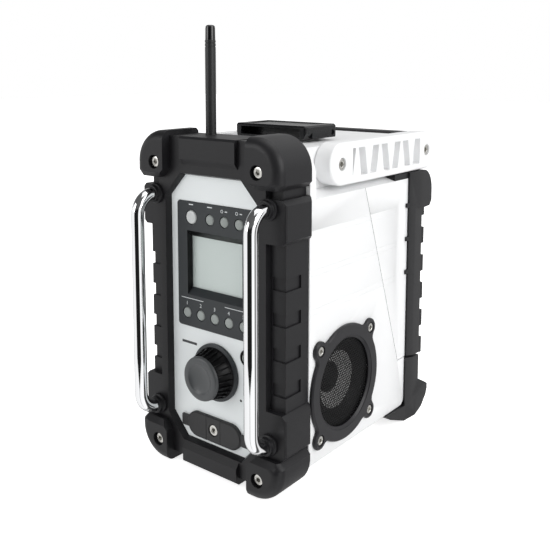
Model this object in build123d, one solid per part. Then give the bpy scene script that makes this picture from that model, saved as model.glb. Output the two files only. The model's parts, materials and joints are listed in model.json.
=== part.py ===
"""Jobsite radio: a guarded front housing, a battery housing that swings open at the back,
a carrying handle, two side speakers, a control panel and two rubber port flaps.

Millimetres, +Z up, front towards -Y. The origin is on the ground, under the middle of the radio.
Depths are counted from the face of the front bumpers, and at(depth) turns one into a y value.
"""
from build123d import *
import math
import os

# ---- Fits ------------------------------------------------------------------------------------
SEAT_GAP = 0.3            # between pieces that are screwed or clipped together
MOVE_GAP = 0.5            # between faces that move past each other
PIN_GAP = 0.05            # radial running clearance of a pin or shaft
WALL = 3.0                # moulded housing walls

# ---- Control panel, stacked from the ground up --------------------------------------------------
PANEL_BOTTOM = 22.5       # lower edge of the guard's opening
PORT_MARGIN = 5.5         # opening edge to the port cover
PORT_HEIGHT = 23.0
PORT_TO_KNOB = 16.0
KNOB_SKIRT_D = 51.0
KNOB_TO_PLATE = 9.3
PLATE_HEIGHT = 112.2
PLATE_TO_TOP = 25.3       # control plate to the upper edge of the opening
TOP_COVER = 36.2          # opening to the bumper tops

PORT_Z = PANEL_BOTTOM + PORT_MARGIN + PORT_HEIGHT / 2
KNOB_Z = PORT_Z + PORT_HEIGHT / 2 + PORT_TO_KNOB + KNOB_SKIRT_D / 2
PLATE_BOTTOM = KNOB_Z + KNOB_SKIRT_D / 2 + KNOB_TO_PLATE
PLATE_TOP = PLATE_BOTTOM + PLATE_HEIGHT
PANEL_TOP = PLATE_TOP + PLATE_TO_TOP
BUMPER_TOP = PANEL_TOP + TOP_COVER

# ---- Widths, from the middle out ----------------------------------------------------------------
PLATE_WIDTH = 87.0
PLATE_MARGIN = 9.5        # control plate to the opening's edge
RIM_WIDTH = 8.0           # opening's edge to the rim's edge
RIM_TO_BUMPER = 20.5      # rim's edge to the bumper's side
WALL_INSET = 3.5          # white side wall inside the bumpers
SPINE_INSET = 4.5         # guard spine inside the bumpers
GUARD_WALL = 6.5          # thickness of the guard's sides

OPENING_X = PLATE_WIDTH / 2 + PLATE_MARGIN
RIM_X = OPENING_X + RIM_WIDTH
HALF = RIM_X + RIM_TO_BUMPER
SIDE_X = HALF - WALL_INSET
SPINE_X = HALF - SPINE_INSET
NOSE_X = SPINE_X - GUARD_WALL

# ---- Depths, from the face of the front bumpers back --------------------------------------------
BAR_REACH = 19.5          # how far the roll bars stand out in front
RIM_DEPTH = 9.0           # face of the guard's rim
SPINE_DEPTH = 14.8        # face of the guard's spines
PANEL_DEPTH = 15.0        # face of the white panel
PANEL_THICKNESS = 3.0
GUARD_BACK = 45.5         # rear of the guard and of the front bumpers
SHOULDER_BACK = 53.5      # rear of the shoulder between bumper and handle arm
SEAM_TOP_DEPTH = 130.0    # side seam at the ledge
SEAM_LOW_DEPTH = 194.5    # side seam at its lower end
SEAM_TO_CORNER = 13.5     # seam's lower end to the rear end of the lower side wall
CORNER_STEP = 1.0         # upper side wall behind the lower one
CORNER_TO_BACK = 27.0     # side wall's end to the back wall
BACK_TO_SPINE = 5.0       # back wall to the rear spines
BACK_TO_PAD = 10.0        # back wall to the pads on the rear spines
BACK_TO_REAR = 22.5       # back wall to the rear bumpers
BACK_TO_HINGE = 8.0       # back wall to the hinge pin of the battery housing
BACK_TO_GRIP = 7.5        # back wall to the grip bolts
CORE_INSET = 8.0          # rear core inside the side walls, behind CORNER_DEPTH

CORNER_FRONT = SEAM_LOW_DEPTH + SEAM_TO_CORNER
CORNER_DEPTH = CORNER_FRONT + CORNER_STEP
BACK_DEPTH = CORNER_DEPTH + CORNER_TO_BACK
REAR_DEPTH = BACK_DEPTH + BACK_TO_REAR

# ---- Heights of the body ------------------------------------------------------------------------
BODY_BOTTOM = 16.0
GUARD_BOTTOM = 8.0
SEAM_LOW_Z = 67.0
LEDGE_DROP = 53.5         # bumper tops to the ledge under the handle
LEDGE_RISE = 4.5          # slope of the ledge, from side wall to deck
DECK_DROP = 12.5          # bumper tops to the deck
GUARD_DROP = 4.5          # bumper tops to the guard's top face
SHOULDER_DROP = 10.0
SEAM_GAP = 0.5

LEDGE_Z = BUMPER_TOP - LEDGE_DROP
DECK_Z = BUMPER_TOP - DECK_DROP
GUARD_TOP = BUMPER_TOP - GUARD_DROP
SHOULDER_Z = BUMPER_TOP - SHOULDER_DROP

# ---- Handle -------------------------------------------------------------------------------------
ARM_WIDTH = 37.3
ARM_THICKNESS = 16.5
ARM_INSET = 2.0           # arm's outer face inside the bumpers
PIVOT_DEPTH = 90.5
PIVOT_DROP = 28.1         # bumper tops to the pivot
GRIP_DEPTH = 24.5
GRIP_HEIGHT = 27.0
GRIP_RADIUS = 8.0
GRIP_BACKSET = 0.4        # grip's middle behind its bolts
GRIP_LIFT = 3.6           # grip's middle above its bolts

PIVOT_Z = BUMPER_TOP - PIVOT_DROP
ARM_LENGTH = BACK_DEPTH + BACK_TO_GRIP - PIVOT_DEPTH
ARM_X = HALF - ARM_INSET
ARM_INNER_X = ARM_X - ARM_THICKNESS
DECK_X = ARM_INNER_X - MOVE_GAP
ARM_END_DEPTH = PIVOT_DEPTH + ARM_LENGTH + ARM_WIDTH / 2

FRONT_Y = (BAR_REACH - ARM_END_DEPTH) / 2


def at(depth):
    """y of a plane this far behind the face of the front bumpers."""
    return FRONT_Y + depth


# ---- Bolts --------------------------------------------------------------------------------------
BOLT_HEAD_D = 9.5
BOLT_HEAD_H = 4.0
BOLT_SHANK_D = 5.0
BOLT_SOCKET = 2.9         # across-corners radius of the hex socket
BOLT_SINK = 2.2           # head's face below the surface it is sunk into
HOLE_GAP = 0.2            # radial gap round a shank
COUNTERBORE_GAP = 1.4     # radial gap round a head

parts = {}


# ---- Helpers ------------------------------------------------------------------------------------
def block(x0, x1, y0, y1, z0, z1):
    """A box from its limits."""
    return Pos((x0 + x1) / 2, (y0 + y1) / 2, (z0 + z1) / 2) * Box(x1 - x0, y1 - y0, z1 - z0)


def prism_x(outline, x0, x1):
    """An outline of (depth, z) points, extruded from x0 to x1."""
    face = make_face(Polyline(*[(x0, at(d), z) for d, z in outline], close=True))
    return extrude(face, amount=x1 - x0, dir=(1, 0, 0))


def prism_y(outline, depth0, depth1):
    """An outline of (x, z) points, extruded between two depths."""
    face = make_face(Polyline(*[(x, at(depth0), z) for x, z in outline], close=True))
    return extrude(face, amount=depth1 - depth0, dir=(0, 1, 0))


def prism_z(outline, z0, z1):
    """An outline of (x, depth) points, extruded from z0 to z1."""
    face = make_face(Polyline(*[(x, at(d), z0) for x, d in outline], close=True))
    return extrude(face, amount=z1 - z0, dir=(0, 0, 1))


def rod_x(radius, x0, x1, depth, z):
    """A cylinder along X."""
    return Pos((x0 + x1) / 2, at(depth), z) * Rot(0, 90, 0) * Cylinder(radius, abs(x1 - x0))


def rod_y(radius, depth0, depth1, x, z):
    """A cylinder along Y."""
    return Pos(x, at((depth0 + depth1) / 2), z) * Rot(90, 0, 0) * Cylinder(radius, depth1 - depth0)


def rod_z(radius, z0, z1, x, depth):
    """A cylinder along Z."""
    return Pos(x, at(depth), (z0 + z1) / 2) * Cylinder(radius, z1 - z0)


def turned_y(profile, x, z):
    """A (radius, depth) profile turned about the line along Y through (x, z)."""
    face = make_face(Polyline(*[(x + r, at(d), z) for r, d in profile], close=True))
    return revolve(face, Axis((x, 0, z), (0, 1, 0)))


def turned_x(profile, depth, z):
    """A (radius, x) profile turned about the line along X through (depth, z)."""
    face = make_face(Polyline(*[(x, at(depth), z + r) for r, x in profile], close=True))
    return revolve(face, Axis((0, at(depth), z), (1, 0, 0)))


def mirrored(shape):
    """The same shape on the other side of the radio."""
    return mirror(shape, about=Plane.YZ)


def both(shape):
    """A shape and its mirror image."""
    return shape + mirrored(shape)


def edges_on(shape, axis, place, tolerance=0.05):
    """Edges that lie wholly on a plane across an axis."""
    index = {"x": 0, "y": 1, "z": 2}[axis]

    def flat(edge):
        box = edge.bounding_box()
        low = (box.min.X, box.min.Y, box.min.Z)[index]
        high = (box.max.X, box.max.Y, box.max.Z)[index]
        return abs(low - place) < tolerance and abs(high - place) < tolerance

    return ShapeList([edge for edge in shape.edges() if flat(edge)])


def bolt_y(x, z, face_depth, length, head_height=BOLT_HEAD_H):
    """A socket bolt driven in from the front; face_depth is the depth of its head's face."""
    seat = face_depth + head_height
    head = rod_y(BOLT_HEAD_D / 2, face_depth, seat, x, z)
    shank = rod_y(BOLT_SHANK_D / 2, seat, seat + length, x, z)
    hexagon = extrude(RegularPolygon(BOLT_SOCKET, 6), head_height, both=True)
    socket = Pos(x, at(face_depth), z) * Rot(90, 0, 0) * hexagon
    return head + shank - (socket & rod_y(BOLT_HEAD_D, face_depth - 1, seat - head_height * 0.3, x, z))


def bolt_x(depth, z, face_x, length, radius=BOLT_SHANK_D / 2, head_d=BOLT_HEAD_D):
    """A socket bolt driven in from the +X side; face_x is its head's face."""
    head = rod_x(head_d / 2, face_x - BOLT_HEAD_H, face_x, depth, z)
    shank = rod_x(radius, face_x - BOLT_HEAD_H - length, face_x - BOLT_HEAD_H, depth, z)
    hexagon = Pos(face_x - BOLT_HEAD_H * 0.7, at(depth), z) * Rot(0, 90, 0)
    hexagon = hexagon * extrude(RegularPolygon(BOLT_SOCKET * head_d / BOLT_HEAD_D, 6), BOLT_HEAD_H)
    return head + shank - hexagon


def seam_depth(z):
    """Depth of the slanted side seam at a height."""
    share = (z - SEAM_LOW_Z) / (LEDGE_Z - SEAM_LOW_Z)
    return SEAM_LOW_DEPTH + (SEAM_TOP_DEPTH - SEAM_LOW_DEPTH) * share


# ---- Guard and bumpers --------------------------------------------------------------------------
OPENING_CHAMFER_X = 18.7
OPENING_CHAMFER_TOP = 20.1
OPENING_CHAMFER_LOW = 21.2
OPENING_DRAFT = 2.0       # how far the opening's sides lean in, from rim to panel
PANEL_LAP = 2.0           # panel's edge outside the opening's front edge
BLOCK_HEIGHT_TOP = 36.5
BLOCK_TOP_DROP = 49.0     # bumper tops to the upper side blocks
BLOCK_LOW_RISE = 0.5      # lower bumpers to the lower side blocks
BLOCK_LOW_HEIGHT = 38.5
BLOCK_CHAMFER = 4.0
BLOCK_BACK_CHAMFER = 2.5
GAP_SINK = 3.0            # groove between the upper bumpers and side blocks
BAR_BLOCK_INSET = 21.4    # opening's side to the end of a bar block
BAR_BLOCK_DEPTH = 5.0
BAR_BLOCK_DROP = 4.0      # bumper tops to the top bar block
BAR_BLOCK_HEIGHT = 20.6
BAR_BLOCK_CHAMFER = 5.0
BAR_BLOCK_BACK = 44.0
LOW_BLOCK_BOTTOM = 2.0
LOW_BLOCK_HEIGHT = 18.0
POCKET_PITCH = 29.5
POCKET_HEIGHT = 11.0
POCKET_FIRST = 18.0       # lower side block to the middle of the first pocket
POCKET_TOP_MARGIN = 12.0
POCKET_SINK = 1.5
POCKET_BACK = 35.0
POCKET_LIP = 2.5          # rim to the pocket's inner end

BUMPER_OVER = 14.0        # bumpers over the rim's edge, inwards
BUMPER_HEIGHT = 41.5
LOW_BUMPER_HEIGHT = 37.0
BUMPER_ROUND = 28.0
BUMPER_EDGE = 9.0
BUMPER_CHAMFER = 8.0
BUMPER_BEVEL = 4.5        # bumpers' front edge beside the roll bars' ends
BUMPER_TIP = 4.5
BUMPER_SMALL_EDGE = 2.0
BOLT_INSET = 2.8          # rim's edge to the bumper bolts
BOLT_DROP = 27.7
LOW_BOLT_Z = 18.5
BOLT_LENGTH = 24.0
BOSS_RADIUS = 6.5

BUMPER_X = RIM_X - BUMPER_OVER
BOLT_X = RIM_X - BOLT_INSET
BAR_BLOCK_X = OPENING_X - BAR_BLOCK_INSET
BLOCK_LOW_Z = LOW_BUMPER_HEIGHT + BLOCK_LOW_RISE
GUARD_ROUND = BUMPER_ROUND - GUARD_DROP
BLOCK_TOP = BUMPER_TOP - BLOCK_TOP_DROP
BLOCK_LOW_TOP = BLOCK_LOW_Z + BLOCK_LOW_HEIGHT
NOSE_FRONT = PANEL_DEPTH + PANEL_THICKNESS
NOSE_BOTTOM = GUARD_BOTTOM + GUARD_WALL
NOSE_TOP = GUARD_TOP - GUARD_WALL
BOLT_PLACES = [(sx * BOLT_X, z) for sx in (-1, 1) for z in (BUMPER_TOP - BOLT_DROP, LOW_BOLT_Z)]


def opening_outline(grow=0.0):
    """The eight corners of the guard's opening, grown outwards by a margin."""
    lean = grow * 0.41
    x, xc = OPENING_X + grow, OPENING_X - OPENING_CHAMFER_X + lean
    top, low = PANEL_TOP + grow, PANEL_BOTTOM - grow
    side_top = PANEL_TOP - OPENING_CHAMFER_TOP + lean
    side_low = PANEL_BOTTOM + OPENING_CHAMFER_LOW - lean
    return [(-xc, top), (xc, top), (x, side_top), (x, side_low), (xc, low), (-xc, low), (-x, side_low),
            (-x, side_top)]


def opening_cut():
    """What the opening takes out of the guard: eight sides that lean in towards the panel."""
    lean = OPENING_DRAFT / (PANEL_DEPTH - RIM_DEPTH)
    faces = []
    for depth in (RIM_DEPTH - 1, PANEL_DEPTH + 1):
        outline = opening_outline((RIM_DEPTH - depth) * lean)
        faces.append(make_face(Polyline(*[(x, at(depth), z) for x, z in outline], close=True)))
    return loft(faces)


def guard_envelope(gap=0.0):
    """The outside of the guard without its blocks: what the bumpers fit over."""
    low, high, back = GUARD_BOTTOM - gap, GUARD_TOP + gap, at(GUARD_BACK + 1)
    rim = block(-RIM_X - gap, RIM_X + gap, at(RIM_DEPTH - gap), back, low, high)
    body = block(-SPINE_X - gap, SPINE_X + gap, at(SPINE_DEPTH - gap), back, low, high)
    body = fillet(body.edges().filter_by(Axis.Y), GUARD_ROUND + gap)
    return rim + body


def nose_block(inset, front, back):
    """The round-cornered block inside the guard, shrunk by an inset."""
    shape = block(-NOSE_X + inset, NOSE_X - inset, at(front), at(back), NOSE_BOTTOM + inset,
                  NOSE_TOP - inset)
    return fillet(shape.edges().filter_by(Axis.Y), max(GUARD_ROUND - GUARD_WALL - inset, 1.0))


def pocket_heights():
    """Middles of the spine pockets, from the bottom up, as many as the spine has room for."""
    first = BLOCK_LOW_TOP + POCKET_FIRST
    last = BLOCK_TOP - BLOCK_HEIGHT_TOP - POCKET_TOP_MARGIN
    count = int((last - first) // POCKET_PITCH) + 1
    return [first + i * POCKET_PITCH for i in range(count)]


def make_guard():
    """The black moulding round the front: rim, spines, side blocks and the two bar blocks."""
    depth_cut = block(-HALF, HALF, at(GUARD_BACK), at(GUARD_BACK + 2), 0, BUMPER_TOP)
    body = guard_envelope() - depth_cut
    for low, high in ((BLOCK_TOP - BLOCK_HEIGHT_TOP, BLOCK_TOP), (BLOCK_LOW_Z, BLOCK_LOW_TOP)):
        side = block(RIM_X - 4, HALF, at(RIM_DEPTH), at(GUARD_BACK), low, high)
        side = chamfer(edges_on(side, "x", HALF).filter_by(Axis.Y), BLOCK_CHAMFER)
        uprights = edges_on(side, "x", HALF).filter_by(Axis.Z).sort_by(Axis.Y)
        side = fillet(uprights[0], BUMPER_SMALL_EDGE)
        side = chamfer(edges_on(side, "x", HALF).filter_by(Axis.Z).sort_by(Axis.Y)[-1], BLOCK_BACK_CHAMFER)
        body += both(side)
    top_z, low_z = BUMPER_TOP - BAR_BLOCK_DROP, LOW_BLOCK_BOTTOM
    top_bar = prism_x([(BAR_BLOCK_DEPTH, top_z - 2), (BAR_BLOCK_DEPTH + 2, top_z), (BAR_BLOCK_BACK, top_z),
                       (BAR_BLOCK_BACK, top_z - 8), (RIM_DEPTH + 6, top_z - BAR_BLOCK_HEIGHT),
                       (RIM_DEPTH, top_z - BAR_BLOCK_HEIGHT - BAR_BLOCK_CHAMFER + 1),
                       (BAR_BLOCK_DEPTH, top_z - BAR_BLOCK_HEIGHT + 1)], -BAR_BLOCK_X, BAR_BLOCK_X)
    low_bar = prism_x([(BAR_BLOCK_DEPTH, low_z + 3), (BAR_BLOCK_DEPTH + 4, low_z), (GUARD_BACK - 6, low_z),
                       (GUARD_BACK, low_z + 6), (RIM_DEPTH + 6, low_z + LOW_BLOCK_HEIGHT - 2),
                       (RIM_DEPTH, low_z + LOW_BLOCK_HEIGHT + 2),
                       (BAR_BLOCK_DEPTH, low_z + LOW_BLOCK_HEIGHT - 3)],
                      -BAR_BLOCK_X, BAR_BLOCK_X)
    body += top_bar + low_bar
    for z in pocket_heights():
        pocket = block(RIM_X + POCKET_LIP, HALF, at(SPINE_DEPTH - 1), at(SPINE_DEPTH + POCKET_SINK),
                       z - POCKET_HEIGHT / 2, z + POCKET_HEIGHT / 2)
        pocket += block(SPINE_X - POCKET_SINK, HALF, at(SPINE_DEPTH - 1), at(POCKET_BACK),
                        z - POCKET_HEIGHT / 2, z + POCKET_HEIGHT / 2)
        body -= both(pocket)
    groove = block(SPINE_X - GAP_SINK, HALF, at(0), at(GUARD_BACK + 1), BLOCK_TOP,
                   BUMPER_TOP - BUMPER_HEIGHT)
    body -= both(groove)
    body -= nose_block(0.0, NOSE_FRONT, GUARD_BACK + 1)
    body -= prism_y(opening_outline(PANEL_LAP + SEAT_GAP), PANEL_DEPTH, NOSE_FRONT + 1)
    body -= opening_cut()
    for x, z in BOLT_PLACES:
        body -= rod_y(BOLT_SHANK_D / 2 + HOLE_GAP, 0, NOSE_FRONT + 1, x, z)
    for x, z in bar_ends():
        body -= rod_y(BAR_D / 2 + HOLE_GAP, 0, NOSE_FRONT + 1, x, z)
    return body


def bumper(low_z, high_z, upward):
    """One right-hand corner bumper, with its big round up (upward) or down."""
    tip, lip = BUMPER_TIP, BUMPER_CHAMFER
    if upward:
        outline = [(BUMPER_X, high_z), (HALF, high_z), (HALF, low_z + tip), (HALF - tip, low_z),
                   (BUMPER_X + lip, low_z), (BUMPER_X, low_z + lip)]
        corner_z = high_z
    else:
        outline = [(BUMPER_X, low_z), (BUMPER_X, high_z - lip), (BUMPER_X + lip, high_z),
                   (HALF - tip, high_z),
                   (HALF, high_z - tip), (HALF, low_z)]
        corner_z = low_z
    shape = prism_y(outline, 0, GUARD_BACK)
    corner = edges_on(shape, "x", HALF).filter_by(Axis.Y)
    corner = ShapeList([edge for edge in corner if abs(edge.center().Z - corner_z) < 0.1])
    shape = fillet(corner, BUMPER_ROUND)
    rim = edges_on(shape, "y", at(0))
    outer = [edge for edge in rim
             if edge.center().X > HALF - 14 or abs(edge.center().Z - corner_z) < 0.1]
    outer = [edge for edge in outer if abs(edge.center().Z - (low_z if upward else high_z)) > 1]
    shape = fillet(ShapeList(outer), BUMPER_EDGE)
    back = [edge for edge in edges_on(shape, "y", at(GUARD_BACK)) if edge.center().X > BUMPER_X + 1]
    shape = chamfer(ShapeList(back), BLOCK_BACK_CHAMFER)
    edge_z, step = (low_z, 1) if upward else (high_z, -1)
    return shape - prism_x([(-1, edge_z - step), (BUMPER_BEVEL + 1, edge_z - step),
                            (-1, edge_z + step * (BUMPER_BEVEL + 1))], 0, HALF + 1)


def make_bumpers():
    """Four corner bumpers over the guard, each with a sunk bolt hole."""
    for name, low, high, upward, bolt_z in (
            ("top", BUMPER_TOP - BUMPER_HEIGHT, BUMPER_TOP, True, BUMPER_TOP - BOLT_DROP),
            ("bottom", 0.0, LOW_BUMPER_HEIGHT, False, LOW_BOLT_Z)):
        shape = bumper(low, high, upward) - guard_envelope()
        shape -= rod_y(BOLT_HEAD_D / 2 + COUNTERBORE_GAP, -1, BOLT_SINK + BOLT_HEAD_H, BOLT_X, bolt_z)
        shape -= rod_y(BOLT_SHANK_D / 2 + HOLE_GAP, 0, GUARD_BACK, BOLT_X, bolt_z)
        parts[f"bumper_{name}_right"] = shape
        parts[f"bumper_{name}_left"] = mirrored(shape)


# ---- Roll bars ----------------------------------------------------------------------------------
BAR_D = 11.5
BAR_OUTSET = 3.3          # rim's edge to the roll bars
BAR_BEND = 17.0
BAR_TOP_DROP = 57.0       # bumper tops to the bar's upper end
BAR_LOW_RISE = 11.0       # lower side blocks to the bar's lower end
COLLAR_D = 18.0
COLLAR_TIP_D = 15.0
COLLAR_HEIGHT = 6.5

BAR_X = RIM_X + BAR_OUTSET
BAR_LOW_Z = BLOCK_LOW_Z + BAR_LOW_RISE
BAR_TOP_Z = BUMPER_TOP - BAR_TOP_DROP
BAR_DEPTH = -BAR_REACH + BAR_D / 2


def bar_ends():
    """Where the two bars enter the guard, as (x, z)."""
    return [(sx * BAR_X, z) for sx in (-1, 1) for z in (BAR_LOW_Z, BAR_TOP_Z)]


def make_roll_bars():
    """Two bent bars that guard the panel, and the collars at their ends."""
    path = FilletPolyline((BAR_X, at(NOSE_FRONT), BAR_LOW_Z), (BAR_X, at(BAR_DEPTH), BAR_LOW_Z),
                          (BAR_X, at(BAR_DEPTH), BAR_TOP_Z), (BAR_X, at(NOSE_FRONT), BAR_TOP_Z),
                          radius=BAR_BEND)
    section = Plane(origin=(BAR_X, at(NOSE_FRONT), BAR_LOW_Z), z_dir=(0, -1, 0)) * Circle(BAR_D / 2)
    bar = sweep(section, path=path)
    parts["roll_bar_right"] = bar
    parts["roll_bar_left"] = mirrored(bar)
    collars = []
    for x, z in bar_ends():
        bore, tip, step = BAR_D / 2 + PIN_GAP, RIM_DEPTH - COLLAR_HEIGHT, RIM_DEPTH - COLLAR_HEIGHT / 2
        profile = [(bore, tip), (COLLAR_TIP_D / 2, tip), (COLLAR_TIP_D / 2, step),
                   (COLLAR_D / 2, step + 0.8),
                   (COLLAR_D / 2, RIM_DEPTH), (bore, RIM_DEPTH)]
        collars.append(turned_y(profile, x, z))
    parts["roll_bar_collars"] = Compound(children=collars)


# ---- Front housing ------------------------------------------------------------------------------
SHOULDER_ROUND = 24.0
RING_D = 105.0
SPEAKER_GAP = 0.5         # guard's back to the speaker rings
SPEAKER_DEPTH = GUARD_BACK + SPEAKER_GAP + RING_D / 2
SPEAKER_RISE = 61.0       # underside of the side wall to the speaker's middle
SPEAKER_HOLE_D = 86.0
SPEAKER_BOLT = 39.6       # half of the bolt square's side
SPEAKER_BOLT_D = 4.0
CORE_BOTTOM = 10.0
BODY_EDGE = 3.0
TONGUE_INSET = 18.5       # deck's side to the tongue that carries the latch keeper
TONGUE_TO_LATCH = 3.5
LATCH_FRONT = 89.5
KEEPER_HEIGHT = 3.0
KEEPER_X = 14.0
CORE_X = SIDE_X - CORE_INSET
BODY_TOP = LEDGE_Z - SEAM_GAP
LOW_TOP = SEAM_LOW_Z - SEAM_GAP
SPEAKER_Z = BODY_BOTTOM + SPEAKER_RISE
TONGUE_X = DECK_X - TONGUE_INSET
TONGUE_BACK = LATCH_FRONT - TONGUE_TO_LATCH

# Hinge of the battery housing, along X at the foot of the back wall
HINGE_DROP = 3.0          # seam's lower end to the hinge pin
HINGE_RADIUS = 5.0
HINGE_PIN_D = 5.0
HINGE_MARGIN = 2.5        # rear feet to the hinge
REAR_BUMPER_INSET = 31.5  # radio's side to the inner end of the rear bumpers
KNUCKLE_GAP = 0.5
KNUCKLES = 5

HINGE_DEPTH = BACK_DEPTH + BACK_TO_HINGE
HINGE_Z = SEAM_LOW_Z - HINGE_DROP
REAR_BUMPER_X = HALF - REAR_BUMPER_INSET
KNUCKLE = 2 * (REAR_BUMPER_X - HINGE_MARGIN) / KNUCKLES


def knuckle_spans():
    """x limits of the hinge knuckles, from left to right; odd ones belong to the battery housing."""
    start = -(KNUCKLES * KNUCKLE) / 2
    return [(start + i * KNUCKLE + KNUCKLE_GAP / 2, start + (i + 1) * KNUCKLE - KNUCKLE_GAP / 2)
            for i in range(KNUCKLES)]


def speaker_corners():
    """(depth, z) of the four bolts of a speaker ring."""
    return [(SPEAKER_DEPTH + i * SPEAKER_BOLT, SPEAKER_Z + k * SPEAKER_BOLT) for i in (-1, 1)
            for k in (-1, 1)]


def side_outline():
    """The lower side wall seen from the side: slanted seam behind, rounded corner at the rear foot."""
    return [(GUARD_BACK, BODY_BOTTOM), (CORNER_FRONT - 11, BODY_BOTTOM),
            (CORNER_FRONT - 4.5, BODY_BOTTOM + 2),
            (CORNER_FRONT - 1, BODY_BOTTOM + 5), (CORNER_FRONT, BODY_BOTTOM + 8), (CORNER_FRONT, LOW_TOP),
            (seam_depth(LOW_TOP), LOW_TOP), (seam_depth(BODY_TOP), BODY_TOP), (GUARD_BACK, BODY_TOP)]


def make_housings():
    """The white shells in front of the slanted seam.

    The front housing is the nose in the guard with its shoulder and latch tongue; the speaker
    housing is the box behind it. They meet behind the guard and under the shoulder.
    """
    body = nose_block(SEAT_GAP, NOSE_FRONT, GUARD_BACK + 1)
    main = prism_x(side_outline(), -SIDE_X, SIDE_X)
    body += fillet(edges_on(main, "z", BODY_BOTTOM).filter_by(Axis.Y), BODY_EDGE)
    shoulder = block(-SIDE_X, SIDE_X, at(GUARD_BACK), at(SHOULDER_BACK), BODY_TOP, SHOULDER_Z)
    body += fillet(edges_on(shoulder, "z", SHOULDER_Z).filter_by(Axis.Y), SHOULDER_ROUND)
    body += block(-CORE_X, CORE_X, at(CORNER_FRONT), at(BACK_DEPTH), CORE_BOTTOM, LOW_TOP)
    body += block(-TONGUE_X, TONGUE_X, at(SHOULDER_BACK), at(TONGUE_BACK), BODY_TOP, DECK_Z)
    body += block(-KEEPER_X, KEEPER_X, at(TONGUE_BACK - 4), at(TONGUE_BACK), DECK_Z, DECK_Z + KEEPER_HEIGHT)
    ledge = [(SIDE_X, BODY_TOP), (SIDE_X, LEDGE_Z), (DECK_X + SEAM_GAP, LEDGE_Z + LEDGE_RISE),
             (DECK_X + SEAM_GAP, BODY_TOP)]
    body += both(prism_y(ledge, SHOULDER_BACK - 1, seam_depth(BODY_TOP)))

    body -= nose_block(SEAT_GAP + WALL, NOSE_FRONT + WALL, SHOULDER_BACK - WALL)
    inside = [(GUARD_BACK + WALL, BODY_BOTTOM + WALL), (CORNER_FRONT - 13, BODY_BOTTOM + WALL),
              (CORNER_FRONT - WALL, BODY_BOTTOM + 10), (CORNER_FRONT - WALL, LOW_TOP - WALL),
              (seam_depth(LOW_TOP - WALL), LOW_TOP - WALL), (seam_depth(BODY_TOP - WALL), BODY_TOP - WALL),
              (GUARD_BACK + WALL, BODY_TOP - WALL)]
    body -= prism_x(inside, -SIDE_X + WALL, SIDE_X - WALL)
    body -= block(-CORE_X + WALL, CORE_X - WALL, at(CORNER_FRONT - WALL - 1), at(BACK_DEPTH - WALL),
                  BODY_BOTTOM + 10, LOW_TOP - WALL)
    body -= block(-TONGUE_X + WALL, TONGUE_X - WALL, at(SHOULDER_BACK - WALL - 1), at(TONGUE_BACK - WALL),
                  BODY_TOP - WALL - 1, DECK_Z - WALL)
    body -= prism_y(opening_outline(-PANEL_LAP - OPENING_DRAFT), NOSE_FRONT - 1, NOSE_FRONT + WALL + 1)
    nose = nose_block(SEAT_GAP, NOSE_FRONT, GUARD_BACK)
    for x, z in BOLT_PLACES:
        body += rod_y(BOSS_RADIUS, NOSE_FRONT, GUARD_BACK - 8, x, z) & nose
        body -= rod_y(BOLT_SHANK_D / 2 + HOLE_GAP, 0, GUARD_BACK - 11, x, z)
    speaker_cuts = rod_x(SPEAKER_HOLE_D / 2, SIDE_X - 2 * WALL, SIDE_X + 1, SPEAKER_DEPTH, SPEAKER_Z)
    for depth, z in speaker_corners():
        speaker_cuts += rod_x(SPEAKER_BOLT_D / 2 + HOLE_GAP, SIDE_X - 2 * WALL, SIDE_X + 1, depth, z)
    body -= both(speaker_cuts)
    for x0, x1 in knuckle_spans()[0::2]:
        lug = [(BACK_DEPTH - 1, HINGE_Z - 14), (HINGE_DEPTH - 1, HINGE_Z - HINGE_RADIUS - 1),
               (HINGE_DEPTH + HINGE_RADIUS - 1.4, HINGE_Z - 3), (HINGE_DEPTH, HINGE_Z),
               (BACK_DEPTH - 1, HINGE_Z)]
        body += prism_x(lug, x0, x1) + rod_x(HINGE_RADIUS, x0, x1, HINGE_DEPTH, HINGE_Z)
        body -= rod_x(HINGE_PIN_D / 2, x0 - 0.1, x1 + 0.1, HINGE_DEPTH, HINGE_Z)

    front = block(-HALF, HALF, at(0), at(GUARD_BACK), 0, BUMPER_TOP)
    front += block(-HALF, HALF, at(GUARD_BACK), at(SHOULDER_BACK), BODY_TOP, BUMPER_TOP)
    front += block(-TONGUE_X, TONGUE_X, at(SHOULDER_BACK), at(TONGUE_BACK), BODY_TOP, BUMPER_TOP)
    parts["front_housing"] = body & front
    parts["speaker_housing"] = body - front


# ---- Panel, control plate, display --------------------------------------------------------------
PLATE_PROUD = 0.8
PLATE_BED = 1.0           # how deep the plate is let into the panel
PLATE_CORNER = 3.0
PLATE_LIP = 3.0           # panel left under the plate's edge
WINDOW_MARGIN = 11.75     # plate's side to the window
WINDOW_DROP = 25.7        # plate's top to the window's top
WINDOW_RISE = 28.8        # plate's bottom to the window's bottom
GLASS_MARGIN = 12.5       # plate's side to the glass
GLASS_DROP = 31.5
GLASS_RISE = 34.5
WINDOW_DEEP = 5.8         # plate's face to the glass
TUB_WALL = 3.0
LENS_LAP = 1.5
LENS_THICKNESS = 1.5
DISPLAY_THICKNESS = 3.5
BOARD_THICKNESS = 1.6
BOARD_MARGIN = 4.0
SWITCH_SIZE = 5.0

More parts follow.
